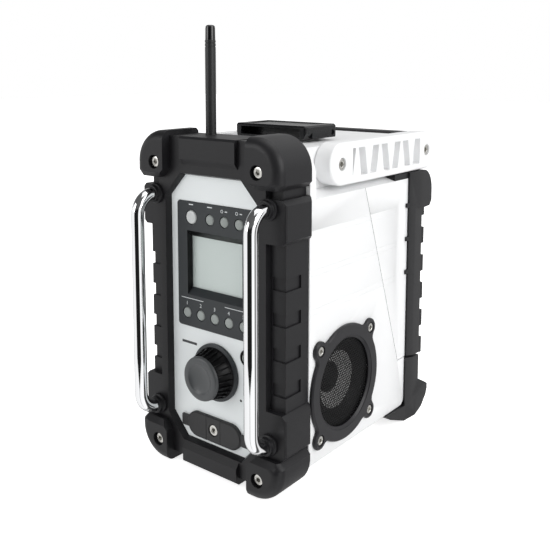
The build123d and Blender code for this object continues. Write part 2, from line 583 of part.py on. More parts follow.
BUTTON_D = 9.0
BUTTON_RING = 0.6         # gap round a button
BUTTON_PROUD = 1.0
BUTTON_FLANGE = 1.3       # how far the flange reaches past the cap
BUTTON_FLANGE_H = 1.5
BUTTON_STEM_D = 4.0
BUTTON_TRAVEL = 1.0
BUTTON_CROWN = 0.6
POWER_D = 12.0
POWER_MARGIN = 16.7       # plate's side to the power button
TOP_ROW_DROP = 13.7       # plate's top to the upper row of buttons
TOP_ROW = ("source_button", "alarm_a_button", "alarm_b_button")
TOP_ROW_PITCH = 16.5
TOP_ROW_MARGIN = 15.3     # plate's side to the last button of the upper row
PRESET_MARGIN = 10.7      # plate's side to the first and last preset
PRESET_RISE = 12.1        # plate's bottom to the preset row
PRESETS = 5
MENU_INSET = 17.0         # opening's side to the menu button
MENU_RISE = 20.5          # knob's middle to the menu button's middle
MENU_RING_D = 15.0
MENU_RING_PROUD = 1.5
RESET_INSET = 23.7        # opening's side to the reset hole
RESET_HOLE_DROP = 18.7    # knob's middle to the reset hole
RESET_HOLE_D = 1.8

WINDOW_WIDTH = PLATE_WIDTH - 2 * WINDOW_MARGIN
WINDOW_HEIGHT = PLATE_HEIGHT - WINDOW_DROP - WINDOW_RISE
GLASS_WIDTH = PLATE_WIDTH - 2 * GLASS_MARGIN
GLASS_HEIGHT = PLATE_HEIGHT - GLASS_DROP - GLASS_RISE
POWER_X = POWER_MARGIN - PLATE_WIDTH / 2
PRESET_PITCH = (PLATE_WIDTH - 2 * PRESET_MARGIN) / (PRESETS - 1)
MENU_X = OPENING_X - MENU_INSET
RESET_HOLE_X = OPENING_X - RESET_INSET
PLATE_FACE = PANEL_DEPTH - PLATE_PROUD
PLATE_BACK = PANEL_DEPTH + PLATE_BED + PLATE_PROUD
GLASS_DEPTH = PLATE_FACE + WINDOW_DEEP
BOARD_DEPTH = GLASS_DEPTH + LENS_THICKNESS + DISPLAY_THICKNESS
PRESET_Z = PLATE_BOTTOM + PRESET_RISE
TOP_ROW_Z = PLATE_TOP - TOP_ROW_DROP
MENU_Z = KNOB_Z + MENU_RISE
WINDOW_TOP = PLATE_TOP - WINDOW_DROP
GLASS_TOP = PLATE_TOP - GLASS_DROP

PORT_X = -0.6
PORT_LENGTH = 62.5
JACK_HOLE_D = 12.0
KNOB_X = 1.2
BUSH_D = 9.0


def button_places():
    """Every button of the control plate: name, x, z and cap diameter."""
    places = [("power_button", POWER_X, TOP_ROW_Z, POWER_D)]
    for i, name in enumerate(reversed(TOP_ROW)):
        places.append((name, PLATE_WIDTH / 2 - TOP_ROW_MARGIN - i * TOP_ROW_PITCH, TOP_ROW_Z, BUTTON_D))
    middle = (PRESETS - 1) / 2
    places += [(f"preset_button_{i + 1}", (i - middle) * PRESET_PITCH, PRESET_Z, BUTTON_D)
               for i in range(PRESETS)]
    return places


def rounded_plate(x0, x1, z0, z1, depth0, depth1, radius):
    """A plate facing forwards with rounded corners."""
    plate = block(x0, x1, at(depth0), at(depth1), z0, z1)
    return fillet(plate.edges().filter_by(Axis.Y), radius)


def make_panel():
    """The white eight-sided panel, let in behind the guard's opening."""
    half = PLATE_WIDTH / 2
    panel = prism_y(opening_outline(PANEL_LAP), PANEL_DEPTH, NOSE_FRONT)
    panel -= rounded_plate(-half - SEAT_GAP, half + SEAT_GAP, PLATE_BOTTOM - SEAT_GAP, PLATE_TOP + SEAT_GAP,
                           PANEL_DEPTH - 1, PANEL_DEPTH + PLATE_BED, PLATE_CORNER)
    panel -= rounded_plate(-half + PLATE_LIP, half - PLATE_LIP, PLATE_BOTTOM + PLATE_LIP,
                           PLATE_TOP - PLATE_LIP,
                           PANEL_DEPTH - 1, NOSE_FRONT + 1, PLATE_CORNER)
    panel -= rod_y(BUSH_D / 2 + HOLE_GAP, PANEL_DEPTH - 1, NOSE_FRONT + 1, KNOB_X, KNOB_Z)
    panel -= rod_y(MENU_RING_D / 2 + PIN_GAP, PANEL_DEPTH - 1, NOSE_FRONT + 1, MENU_X, MENU_Z)
    panel -= rod_y(RESET_HOLE_D / 2, PANEL_DEPTH - 1, NOSE_FRONT + 1, RESET_HOLE_X,
                   KNOB_Z - RESET_HOLE_DROP)
    panel -= rod_y(BOLT_SHANK_D / 2 + HOLE_GAP, PANEL_DEPTH - 1, NOSE_FRONT + 1, PORT_X, PORT_Z)
    for x in jack_xs():
        panel -= rod_y(JACK_HOLE_D / 2, PANEL_DEPTH - 1, NOSE_FRONT + 1, x, PORT_Z)
    return panel


def make_control_plate():
    """The charcoal plate with the button holes and the sunk display window."""
    half = PLATE_WIDTH / 2
    plate = rounded_plate(-half, half, PLATE_BOTTOM, PLATE_TOP, PLATE_FACE, PANEL_DEPTH + PLATE_BED,
                          PLATE_CORNER)
    inner = PLATE_LIP + SEAT_GAP
    plate += rounded_plate(-half + inner, half - inner, PLATE_BOTTOM + inner, PLATE_TOP - inner,
                           PANEL_DEPTH, PLATE_BACK, PLATE_CORNER)
    tub = block(-WINDOW_WIDTH / 2 - TUB_WALL, WINDOW_WIDTH / 2 + TUB_WALL, at(PLATE_BACK), at(GLASS_DEPTH),
                WINDOW_TOP - WINDOW_HEIGHT - TUB_WALL + 1, WINDOW_TOP + TUB_WALL)
    plate += tub
    front = Plane(origin=(0, at(PLATE_FACE), WINDOW_TOP - WINDOW_HEIGHT / 2), x_dir=(1, 0, 0),
                  z_dir=(0, -1, 0))
    back = Plane(origin=(0, at(GLASS_DEPTH), GLASS_TOP - GLASS_HEIGHT / 2), x_dir=(1, 0, 0),
                 z_dir=(0, -1, 0))
    funnel = loft([front * Rectangle(WINDOW_WIDTH, WINDOW_HEIGHT),
                   back * Rectangle(GLASS_WIDTH, GLASS_HEIGHT)])
    plate -= funnel
    for _, x, z, diameter in button_places():
        plate -= rod_y(diameter / 2 + BUTTON_RING, PLATE_FACE - 1, GLASS_DEPTH, x, z)
    return plate


def make_display():
    """The clear lens behind the window and the display module behind it."""
    x = GLASS_WIDTH / 2 + LENS_LAP
    z0, z1 = GLASS_TOP - GLASS_HEIGHT - LENS_LAP, GLASS_TOP + LENS_LAP
    parts["display_lens"] = block(-x, x, at(GLASS_DEPTH), at(GLASS_DEPTH + LENS_THICKNESS), z0, z1)
    parts["display_module"] = block(-x, x, at(GLASS_DEPTH + LENS_THICKNESS), at(BOARD_DEPTH), z0, z1)


def make_board():
    """The control board behind the plate, with a switch under each button."""
    half = PLATE_WIDTH / 2 - BOARD_MARGIN
    board = block(-half, half, at(BOARD_DEPTH), at(BOARD_DEPTH + BOARD_THICKNESS),
                  PLATE_BOTTOM + BOARD_MARGIN,
                  PLATE_TOP - BOARD_MARGIN)
    for _, x, z, _ in button_places():
        switch_face = button_back() + BUTTON_TRAVEL + SEAT_GAP
        board += block(x - SWITCH_SIZE / 2, x + SWITCH_SIZE / 2, at(switch_face), at(BOARD_DEPTH),
                       z - SWITCH_SIZE / 2, z + SWITCH_SIZE / 2)
    parts["control_board"] = board


def button_back():
    """Depth of a button's stem end at rest."""
    return BOARD_DEPTH - BUTTON_TRAVEL - SEAT_GAP - 0.8


def button(x, z, diameter, face, back_of_plate, stem_end):
    """A push button: crowned cap, retaining flange and stem."""
    r = diameter / 2
    flange = back_of_plate + SEAT_GAP
    profile = [(0, face), (r * 0.55, face + BUTTON_CROWN * 0.25), (r - 0.7, face + BUTTON_CROWN),
               (r, face + 1.4),
               (r, flange), (r + BUTTON_FLANGE, flange), (r + BUTTON_FLANGE, flange + BUTTON_FLANGE_H),
               (BUTTON_STEM_D / 2, flange + BUTTON_FLANGE_H), (BUTTON_STEM_D / 2, stem_end), (0, stem_end)]
    return turned_y(profile, x, z)


def make_buttons():
    """Buttons of the control plate, and the menu button in its own ring."""
    for name, x, z, diameter in button_places():
        parts[name] = button(x, z, diameter, PLATE_FACE - BUTTON_PROUD, PLATE_BACK, button_back())
    ring_face = PANEL_DEPTH - MENU_RING_PROUD
    hole = BUTTON_D / 2 + BUTTON_RING
    ring = [(hole, ring_face), (MENU_RING_D / 2 - 1, ring_face), (MENU_RING_D / 2, ring_face + 1),
            (MENU_RING_D / 2, NOSE_FRONT), (hole, NOSE_FRONT)]
    parts["menu_button_ring"] = turned_y(ring, MENU_X, MENU_Z)
    parts["menu_button"] = button(MENU_X, MENU_Z, BUTTON_D, ring_face - 1, NOSE_FRONT, NOSE_FRONT + 6)


# ---- Volume knob --------------------------------------------------------------------------------
KNOB_D = 38.8
KNOB_BASE_D = 41.0
KNOB_HEIGHT = 21.5        # panel to the knob's face
KNOB_LIFT = 0.6           # knob off the panel
KNOB_SKIRT_H = 2.5
KNOB_DISH = 2.5
KNOB_DISH_D = 25.0
KNOB_RIBS = 20
KNOB_RIB = 1.1
SHAFT_D = 6.0
ENCODER_SIZE = 16.0
ENCODER_DEEP = 9.0
NUT_D = 12.0
NUT_H = 2.4


def make_knob():
    """The ribbed knob on its shaft, and the encoder that it turns in."""
    foot = PANEL_DEPTH - KNOB_LIFT
    face = PANEL_DEPTH - KNOB_HEIGHT
    skirt = foot - KNOB_SKIRT_H
    grip_r, base_r, dish_r = KNOB_D / 2, KNOB_BASE_D / 2, KNOB_DISH_D / 2
    profile = [(0, face + KNOB_DISH), (dish_r * 0.6, face + KNOB_DISH * 0.8), (dish_r, face + 0.3),
               (dish_r + 0.6, face), (grip_r - 2.0, face), (grip_r, face + 1.6), (base_r, skirt - 0.5),
               (KNOB_SKIRT_D / 2 - 1, skirt), (KNOB_SKIRT_D / 2, skirt + 1), (KNOB_SKIRT_D / 2, foot),
               (NUT_D / 2 + 1.5, foot), (NUT_D / 2 + 1.5, foot - NUT_H - 1.0), (0, foot - NUT_H - 1.0)]
    knob = turned_y(profile, KNOB_X, KNOB_Z)
    for i in range(KNOB_RIBS):
        angle = 2 * math.pi * i / KNOB_RIBS
        x = KNOB_X + (grip_r + 0.5) * math.cos(angle)
        z = KNOB_Z + (grip_r + 0.5) * math.sin(angle)
        groove = Pos(x, at((face + 4 + skirt) / 2), z) * Rot(0, -math.degrees(angle), 0)
        knob -= groove * Box(2 * KNOB_RIB, skirt - face - 4, 2.6)
    knob += rod_y(SHAFT_D / 2, foot - NUT_H - 2, NOSE_FRONT + ENCODER_DEEP - 2, KNOB_X, KNOB_Z)
    parts["volume_knob"] = knob
    can = block(KNOB_X - ENCODER_SIZE / 2, KNOB_X + ENCODER_SIZE / 2, at(NOSE_FRONT),
                at(NOSE_FRONT + ENCODER_DEEP),
                KNOB_Z - ENCODER_SIZE / 2, KNOB_Z + ENCODER_SIZE / 2)
    bush = rod_y(BUSH_D / 2, PANEL_DEPTH - NUT_H, NOSE_FRONT + 0.1, KNOB_X, KNOB_Z)
    nut = Pos(KNOB_X, at(PANEL_DEPTH - NUT_H / 2), KNOB_Z) * Rot(90, 0, 0)
    nut = nut * extrude(RegularPolygon(NUT_D / 2, 6), NUT_H / 2 - 0.01, both=True)
    encoder = can + bush + nut
    encoder -= rod_y(SHAFT_D / 2 + PIN_GAP, 0, NOSE_FRONT + ENCODER_DEEP - 1.5, KNOB_X, KNOB_Z)
    parts["volume_encoder"] = encoder


# ---- Ports --------------------------------------------------------------------------------------
PORT_THICKNESS = 3.5
PORT_BOLT_HEAD_H = 2.4
PORT_BOLT_SINK = 0.5
HUB_HALF = 8.15
TAB_LENGTH = 7.3
TAB_HEIGHT = 10.0
TAB_THICKNESS = 2.0
JACK_X = 20.0             # port cover's middle to each jack
JACK_DEEP = 14.0
JACK_BORE = 3.5
INLET_BORE = 6.2
INLET_PIN = 2.0
PLUG_D = 6.0
PLUG_LENGTH = 2.0


def jack_xs():
    """x of the sound jack and of the power inlet."""
    return (PORT_X - JACK_X, PORT_X + JACK_X)


def make_ports():
    """The rubber cover: a fixed hub and two flaps, and the jacks under them."""
    face, half, r = PANEL_DEPTH - PORT_THICKNESS, PORT_LENGTH / 2, PORT_HEIGHT / 2
    stadium = block(PORT_X - half + r, PORT_X + half - r, at(face), at(PANEL_DEPTH), PORT_Z - r, PORT_Z + r)
    for side in (-1, 1):
        stadium += rod_y(r, face, PANEL_DEPTH, PORT_X + side * (half - r), PORT_Z)
    front_rim = edges_on(stadium, "y", at(face))
    stadium = chamfer(front_rim, 1.0)
    hub = stadium & block(PORT_X - HUB_HALF, PORT_X + HUB_HALF, at(0), at(PANEL_DEPTH), 0, PANEL_TOP)
    hub -= rod_y(BOLT_HEAD_D / 2 + COUNTERBORE_GAP / 2, 0, face + PORT_BOLT_SINK + PORT_BOLT_HEAD_H,
                 PORT_X, PORT_Z)
    hub -= rod_y(BOLT_SHANK_D / 2 + HOLE_GAP, 0, PANEL_DEPTH + 1, PORT_X, PORT_Z)
    parts["port_cover_hub"] = hub
    for side, name in ((-1, "port_flap_left"), (1, "port_flap_right")):
        inner, outer = PORT_X + side * (HUB_HALF + SEAT_GAP), PORT_X + side * (half + 1)
        flap = stadium & block(min(inner, outer), max(inner, outer), at(0), at(PANEL_DEPTH), 0, PANEL_TOP)
        tab0, tab1 = PORT_X + side * (half - 4), PORT_X + side * (half + TAB_LENGTH)
        flap += block(min(tab0, tab1), max(tab0, tab1), at(PANEL_DEPTH - TAB_THICKNESS - 0.6),
                      at(PANEL_DEPTH - 0.6),
                      PORT_Z - TAB_HEIGHT / 2, PORT_Z + TAB_HEIGHT / 2)
        flap = flap - block(-HALF, HALF, at(PANEL_DEPTH - SEAT_GAP), at(PANEL_DEPTH + 1), 0, PANEL_TOP)
        plug_x = PORT_X + side * JACK_X
        flap += rod_y(PLUG_D / 2, PANEL_DEPTH - SEAT_GAP - 0.5, PANEL_DEPTH + PLUG_LENGTH, plug_x, PORT_Z)
        parts[name] = flap
    jack_face = PANEL_DEPTH + PANEL_THICKNESS
    for x, name, bore in ((jack_xs()[0], "aux_jack", JACK_BORE), (jack_xs()[1], "power_inlet", INLET_BORE)):
        jack = block(x - 9, x + 9, at(jack_face), at(jack_face + JACK_DEEP), PORT_Z - 6.5, PORT_Z + 6.5)
        jack -= rod_y(bore / 2, jack_face - 1, jack_face + JACK_DEEP - 2, x, PORT_Z)
        if name == "power_inlet":
            jack += rod_y(INLET_PIN / 2, jack_face + 1, jack_face + JACK_DEEP - 1.9, x, PORT_Z)
        parts[name] = jack


def make_front_bolts():
    """Four bumper bolts and the one that holds the port cover."""
    bolts = [bolt_y(x, z, BOLT_SINK, BOLT_LENGTH) for x, z in BOLT_PLACES]
    port_face = PANEL_DEPTH - PORT_THICKNESS + PORT_BOLT_SINK
    bolts.append(bolt_y(PORT_X, PORT_Z, port_face, 9, PORT_BOLT_HEAD_H))
    parts["front_bolts"] = Compound(children=bolts)


# ---- Speakers -----------------------------------------------------------------------------------
RING_HOLE_D = 79.0
EAR_RADIUS = 8.5
EAR_BLEND = 6.0
RING_STEP = 1.4
MESH_D = 85.0
MESH_THICKNESS = 1.0
MESH_DOME = 1.2
BASKET_FLANGE_D = 96.0
BASKET_FLANGE_H = 2.0
BASKET_DEEP = 30.0
MAGNET_D = 52.0
MAGNET_H = 13.0
CONE_D = 76.0
CONE_WALL = 0.9
CONE_DEEP = 14.0
CAP_D = 27.0
SPEAKER_BOLT_HEAD_D = 8.0


def make_speakers():
    """Ring, mesh, basket with magnet, and cone, once for each side."""
    ring_face = HALF
    sketch = Circle(RING_D / 2)
    for i in (-1, 1):
        for k in (-1, 1):
            sketch += Pos(i * SPEAKER_BOLT, k * SPEAKER_BOLT) * Circle(EAR_RADIUS)
    sketch = fillet(sketch.vertices(), EAR_BLEND)
    plane = Plane(origin=(SIDE_X, at(SPEAKER_DEPTH), SPEAKER_Z), x_dir=(0, 1, 0), z_dir=(1, 0, 0))
    ring = extrude(plane * sketch, ring_face - SIDE_X)
    ring = chamfer(edges_on(ring, "x", ring_face), RING_STEP)
    bevel = [(0, ring_face + 0.5), (RING_HOLE_D / 2 + 2.5, ring_face + 0.5),
             (RING_HOLE_D / 2 + 2.5, ring_face - 0.6),
             (RING_HOLE_D / 2, ring_face - 2.2), (RING_HOLE_D / 2, SIDE_X - 1), (0, SIDE_X - 1)]
    ring -= turned_x(bevel, SPEAKER_DEPTH, SPEAKER_Z)
    head_floor = ring_face - 0.6 - BOLT_HEAD_H * 0.5
    for depth, z in speaker_corners():
        ring -= rod_x(SPEAKER_BOLT_HEAD_D / 2 + 0.8, head_floor, ring_face + 1, depth, z)
        ring -= rod_x(SPEAKER_BOLT_D / 2 + HOLE_GAP, SIDE_X - 1, ring_face + 1, depth, z)

    r, rim_x = MESH_D / 2, SIDE_X
    mesh = [(0, rim_x + MESH_DOME - MESH_THICKNESS - 1.0), (0, rim_x + MESH_DOME - 1.0),
            (r * 0.6, rim_x + 0.05), (RING_HOLE_D / 2 - 1, rim_x - 0.1),
            (r, rim_x - 0.1), (r, rim_x - 0.1 - MESH_THICKNESS),
            (r * 0.6, rim_x - MESH_THICKNESS + 0.05)]
    inner = SIDE_X - WALL
    fl, deep, m = BASKET_FLANGE_D / 2, BASKET_DEEP, MAGNET_D / 2
    basket = [(fl - 8, inner), (fl, inner), (fl, inner - BASKET_FLANGE_H),
              (fl - 6, inner - BASKET_FLANGE_H), (m - 2, inner - deep), (m, inner - deep),
              (m, inner - deep - MAGNET_H), (0, inner - deep - MAGNET_H),
              (0, inner - deep + 2), (m - 4, inner - deep + 2), (fl - 8, inner - BASKET_FLANGE_H - 0.5)]
    c, cap, w = CONE_D / 2, CAP_D / 2, CONE_WALL
    x = inner - 0.5
    low = x - CONE_DEEP
    cone = [(c + 1.6, x), (c, x + 1.6), (c - 4, x + 1.6), (c - 7, x - 0.5), (cap + 1, low),
            (cap, low + 1.5), (cap * 0.6, low + 5.0), (0, low + 6.2),
            (0, low + 6.2 - w), (cap * 0.6, low + 5.0 - w), (cap, low - w),
            (cap + 1, low - 1.6), (c - 6.4, x - 0.5 - w), (c - 4, x + 1.6 - w), (c, x + 1.6 - w), (c + 1.6, x - w)]
    bolt_face = ring_face - 0.6 + BOLT_HEAD_H * 0.5
    outside = block(0, ring_face - 0.5, at(0), at(BACK_DEPTH), 0, BUMPER_TOP)
    bolts = [bolt_x(depth, z, bolt_face, 8, SPEAKER_BOLT_D / 2, SPEAKER_BOLT_HEAD_D) & outside
             for depth, z in speaker_corners()]
    for name, shape in (("speaker_ring", ring), ("speaker_mesh", turned_x(mesh, SPEAKER_DEPTH, SPEAKER_Z)),
                        ("speaker_basket", turned_x(basket, SPEAKER_DEPTH, SPEAKER_Z)),
                        ("speaker_cone", turned_x(cone, SPEAKER_DEPTH, SPEAKER_Z))):
        parts[f"{name}_right"] = shape
        parts[f"{name}_left"] = mirrored(shape)
    parts["speaker_bolts"] = Compound(children=bolts + [mirrored(bolt) for bolt in bolts])


# ---- Antenna ------------------------------------------------------------------------------------
ANTENNA_INSET = 9.1       # bar block's end to the antenna
ANTENNA_DEPTH = 36.0
ANTENNA_LENGTH = 94.5
ANTENNA_BASE_D = 9.4
ANTENNA_TOP_D = 8.0
ANTENNA_TIP_D = 8.8
ANTENNA_TIP = 9.0
SOCKET_D = 15.0
STUD_D = 5.0
STUD_LENGTH = 6.0
ANTENNA_X = ANTENNA_INSET - BAR_BLOCK_X


def make_antenna():
    """The flexible rod, screwed by its stud into a flanged socket in the guard's top."""
    foot = BUMPER_TOP - BAR_BLOCK_DROP
    low = foot + 0.6
    tip = foot + ANTENNA_LENGTH
    r0, r1, rt = ANTENNA_BASE_D / 2, ANTENNA_TOP_D / 2, ANTENNA_TIP_D / 2
    neck = tip - ANTENNA_TIP
    profile = [(0, low - STUD_LENGTH), (STUD_D / 2, low - STUD_LENGTH), (STUD_D / 2, low), (r0, low),
               (r1, neck - 3), (r1 - 0.5, neck - 3), (r1 - 0.5, neck - 2), (r1, neck - 2),
               (r1, neck - 1), (r1 - 0.5, neck - 1), (r1 - 0.5, neck),
               (rt, neck), (rt, tip - 1.2), (rt - 1.4, tip), (0, tip)]
    face = make_face(Polyline(*[(ANTENNA_X + r, at(ANTENNA_DEPTH), z) for r, z in profile], close=True))
    parts["antenna_rod"] = revolve(face, Axis((ANTENNA_X, at(ANTENNA_DEPTH), 0), (0, 0, 1)))
    socket = rod_z(SOCKET_D / 2 - 2, foot - STUD_LENGTH - 1, foot, ANTENNA_X, ANTENNA_DEPTH)
    socket += rod_z(SOCKET_D / 2 - 2.2, foot - 0.1, foot + 0.6, ANTENNA_X, ANTENNA_DEPTH)
    socket -= rod_z(STUD_D / 2, low - STUD_LENGTH, foot + 1, ANTENNA_X, ANTENNA_DEPTH)
    parts["antenna_socket"] = socket


def antenna_hole():
    """The hole that the antenna socket fills in the guard."""
    foot = BUMPER_TOP - BAR_BLOCK_DROP
    return rod_z(SOCKET_D / 2 - 2, foot - STUD_LENGTH - 1, foot + 1, ANTENNA_X, ANTENNA_DEPTH)


# ---- Battery housing ----------------------------------------------------------------------------
HOOK_X = 12.0
LATCH_INSET = 21.5        # deck's side to the latch
LATCH_LENGTH = 49.0
LATCH_LIFT = 3.0          # latch above the deck
LATCH_HEIGHT = 12.0
LATCH_WALL = 2.6
LATCH_POST = 7.0          # width of the posts beside the finger recess
LATCH_PIN_D = 5.0
LATCH_PIN_BACK = 7.0      # pin in front of the latch's rear face
LATCH_PIN_RISE = 7.5      # pin above the deck
LUG_X = 26.0
LUG_WIDTH = 6.0
LUG_RADIUS = 4.2
HOOK_GAP = 2.0            # latch keeper to the latch's hook
GRIP_TO_DECK = 14.0       # grip bolts to the deck's rear face
LATCH_X = DECK_X - LATCH_INSET
DECK_BACK = PIVOT_DEPTH + ARM_LENGTH - GRIP_TO_DECK
LATCH_PIN_DEPTH = LATCH_FRONT + LATCH_LENGTH - LATCH_PIN_BACK
LATCH_PIN_Z = DECK_Z + LATCH_PIN_RISE
PIVOT_SHANK_D = 6.5
PIVOT_BOSS = 12.0
PIVOT_HOLD = 14.0         # pivot bolt's length inside the deck

CAB_BOTTOM = SEAM_LOW_Z + SEAM_GAP


def make_battery_housing():
    """The white shell behind the seam: side walls, back, ledge and deck."""
    lean = SEAM_GAP * 1.06
    side = [(seam_depth(CAB_BOTTOM) + lean, CAB_BOTTOM), (CORNER_DEPTH, CAB_BOTTOM),
            (CORNER_DEPTH, LEDGE_Z),
            (seam_depth(LEDGE_Z) + lean, LEDGE_Z)]
    shell = prism_x(side, -SIDE_X, SIDE_X)
    shell += block(-CORE_X, CORE_X, at(CORNER_DEPTH - 1), at(BACK_DEPTH), CAB_BOTTOM, LEDGE_Z)
    ledge = [(SIDE_X, LEDGE_Z), (DECK_X, LEDGE_Z + LEDGE_RISE), (-DECK_X, LEDGE_Z + LEDGE_RISE),
             (-SIDE_X, LEDGE_Z)]
    shell += prism_y(ledge, seam_depth(LEDGE_Z) + lean, CORNER_DEPTH)
    front = SHOULDER_BACK + SEAM_GAP
    grip_low = PIVOT_Z + GRIP_LIFT - GRIP_HEIGHT / 2
    deck = [(front, LEDGE_Z), (BACK_DEPTH, LEDGE_Z), (BACK_DEPTH, grip_low - 6), (DECK_BACK, grip_low - 1),
            (DECK_BACK, DECK_Z - 4), (DECK_BACK - 4, DECK_Z), (front, DECK_Z)]
    shell += prism_x(deck, -DECK_X, DECK_X)
    notch = TONGUE_X + SEAM_GAP
    shell -= block(-notch, notch, at(SHOULDER_BACK), at(TONGUE_BACK + SEAM_GAP), LEDGE_Z - 1, DECK_Z + 1)

    inside = [(seam_depth(CAB_BOTTOM + WALL) - 5, CAB_BOTTOM + WALL),
              (CORNER_DEPTH - WALL, CAB_BOTTOM + WALL),
              (CORNER_DEPTH - WALL, LEDGE_Z - WALL), (SEAM_TOP_DEPTH - 5, LEDGE_Z - WALL)]
    hollow = prism_x(inside, -SIDE_X + WALL, SIDE_X - WALL)
    hollow += block(-CORE_X + WALL, CORE_X - WALL, at(CORNER_DEPTH - 2 * WALL), at(BACK_DEPTH - WALL),
                    CAB_BOTTOM + WALL, LEDGE_Z - WALL)
    roof = DECK_Z - WALL
    hollow += block(-DECK_X + WALL, DECK_X - WALL, at(TONGUE_BACK + SEAM_GAP + WALL),
                    at(DECK_BACK - WALL - 1),
                    LEDGE_Z - WALL - 1, roof)
    for sx in (-1, 1):
        cheek_in, cheek_out = sx * (notch + WALL), sx * (DECK_X - WALL)
        hollow += block(min(cheek_in, cheek_out), max(cheek_in, cheek_out), at(front + WALL),
                        at(TONGUE_BACK + SEAM_GAP + WALL + 1), LEDGE_Z - 1, roof)
    shell -= hollow
    for sx in (-1, 1):
        boss = rod_x(PIVOT_BOSS, DECK_X - WALL - PIVOT_HOLD, DECK_X - 1, PIVOT_DEPTH, PIVOT_Z)
        boss = boss & block(0, DECK_X, at(SHOULDER_BACK), at(BACK_DEPTH), LEDGE_Z + 1, DECK_Z - 1)
        bore = rod_x(PIVOT_SHANK_D / 2, DECK_X - PIVOT_HOLD, DECK_X + 1, PIVOT_DEPTH, PIVOT_Z)
        shell += boss if sx > 0 else mirrored(boss)
        shell -= bore if sx > 0 else mirrored(bore)
        x = sx * LUG_X
        lug = rod_x(LUG_RADIUS, x - LUG_WIDTH / 2, x + LUG_WIDTH / 2, LATCH_PIN_DEPTH, LATCH_PIN_Z)
        lug += block(x - LUG_WIDTH / 2, x + LUG_WIDTH / 2, at(LATCH_PIN_DEPTH - LUG_RADIUS),
                     at(LATCH_PIN_DEPTH + LUG_RADIUS), DECK_Z - 1, LATCH_PIN_Z)
        shell += lug
        shell -= rod_x(LATCH_PIN_D / 2, x - LUG_WIDTH, x + LUG_WIDTH, LATCH_PIN_DEPTH, LATCH_PIN_Z)
    for x0, x1 in knuckle_spans()[1::2]:
        leaf = [(BACK_DEPTH - 1, CAB_BOTTOM + 0.5), (BACK_DEPTH - 1, HINGE_Z + 14),
                (HINGE_DEPTH - 4, HINGE_Z + 11),
                (HINGE_DEPTH + HINGE_RADIUS - 1.4, HINGE_Z + 3), (HINGE_DEPTH, HINGE_Z),
                (BACK_DEPTH + 3, HINGE_Z + 1), (BACK_DEPTH + 1.5, CAB_BOTTOM + 0.5)]
        shell += prism_x(leaf, x0, x1) + rod_x(HINGE_RADIUS, x0, x1, HINGE_DEPTH, HINGE_Z)
        shell -= rod_x(HINGE_PIN_D / 2 + PIN_GAP, x0 - 0.1, x1 + 0.1, HINGE_DEPTH, HINGE_Z)
    return shell


def make_hinge_pin():
    """The pin of the battery housing's hinge."""
    spans = knuckle_spans()
    parts["hinge_pin"] = rod_x(HINGE_PIN_D / 2, spans[0][0] - 1, spans[-1][1] + 1, HINGE_DEPTH, HINGE_Z)


# ---- Latch --------------------------------------------------------------------------------------
def make_latch():
    """The pull-up latch: an open-fronted cap that turns on a pin in the deck's lugs."""
    z0, z1 = DECK_Z + LATCH_LIFT, DECK_Z + LATCH_LIFT + LATCH_HEIGHT
    d0, d1 = LATCH_FRONT, LATCH_FRONT + LATCH_LENGTH
    lever = block(-LATCH_X, LATCH_X, at(d0), at(d1), z0, z1)
    lever = fillet(lever.edges().filter_by(Axis.Z), 3.0)
    lever = chamfer(edges_on(lever, "z", z1), 1.5)
    post = LATCH_X - LATCH_POST
    lever -= block(-post, post, at(d0 - 1), at(d0 + 16), z0 + 2.0, z1 - LATCH_WALL)
    lever -= block(-LATCH_X + LATCH_WALL * 2, LATCH_X - LATCH_WALL * 2, at(d0 + 16 + LATCH_WALL),
                   at(d1 - LATCH_WALL),
                   z0 - 1, z1 - LATCH_WALL)
    lever -= block(-LATCH_X + 7, LATCH_X - 7, at(d0 + 7), at(d1 - 7), z1 - 0.8, z1 + 1)
    lever -= prism_x([(d1 - LATCH_WALL, z0 - 0.1), (d1 + 1, z0 - 0.1), (d1 + 1, z0 + LATCH_WALL + 2)],
                     -LATCH_X, LATCH_X)
    corner = [(LATCH_X - 3, z0 - 0.1), (LATCH_X + 1, z0 - 0.1), (LATCH_X + 1, z0 + 8)]
    lever -= both(prism_y(corner, d0 - 1, d0 + 10))
    x_lug, x_wall = LUG_X + LUG_WIDTH / 2 + MOVE_GAP, LATCH_X - LATCH_WALL
    for sx in (-1, 1):
        ear = rod_x(LUG_RADIUS, x_lug, x_wall + 0.5, LATCH_PIN_DEPTH, LATCH_PIN_Z)
        ear += block(x_lug, x_wall + 0.5, at(LATCH_PIN_DEPTH - LUG_RADIUS),
                     at(LATCH_PIN_DEPTH + LUG_RADIUS),
                     LATCH_PIN_Z, z1 - 1)
        slot = block(LUG_X * 2 - x_lug, x_lug, at(d1 - LATCH_WALL - 1), at(d1 + 1), z0 - 1,
                     LATCH_PIN_Z + LUG_RADIUS)
        lever += ear if sx > 0 else mirrored(ear)
        lever -= slot if sx > 0 else mirrored(slot)
    nose = TONGUE_BACK + HOOK_GAP
    hook = [(nose, DECK_Z + 1), (d0 + 4, DECK_Z + 1), (d0 + 4, z0 + 1), (d0 + 0.2, z0 + 1),
            (nose, DECK_Z + 2.5)]
    lever += prism_x(hook, -HOOK_X, HOOK_X)
    lever -= rod_x(LATCH_PIN_D / 2 + PIN_GAP, -LATCH_X - 1, LATCH_X + 1, LATCH_PIN_DEPTH, LATCH_PIN_Z)
    parts["latch_lever"] = lever
    reach = LATCH_X - LATCH_WALL / 2
    parts["latch_pin"] = rod_x(LATCH_PIN_D / 2, -reach, reach, LATCH_PIN_DEPTH, LATCH_PIN_Z)


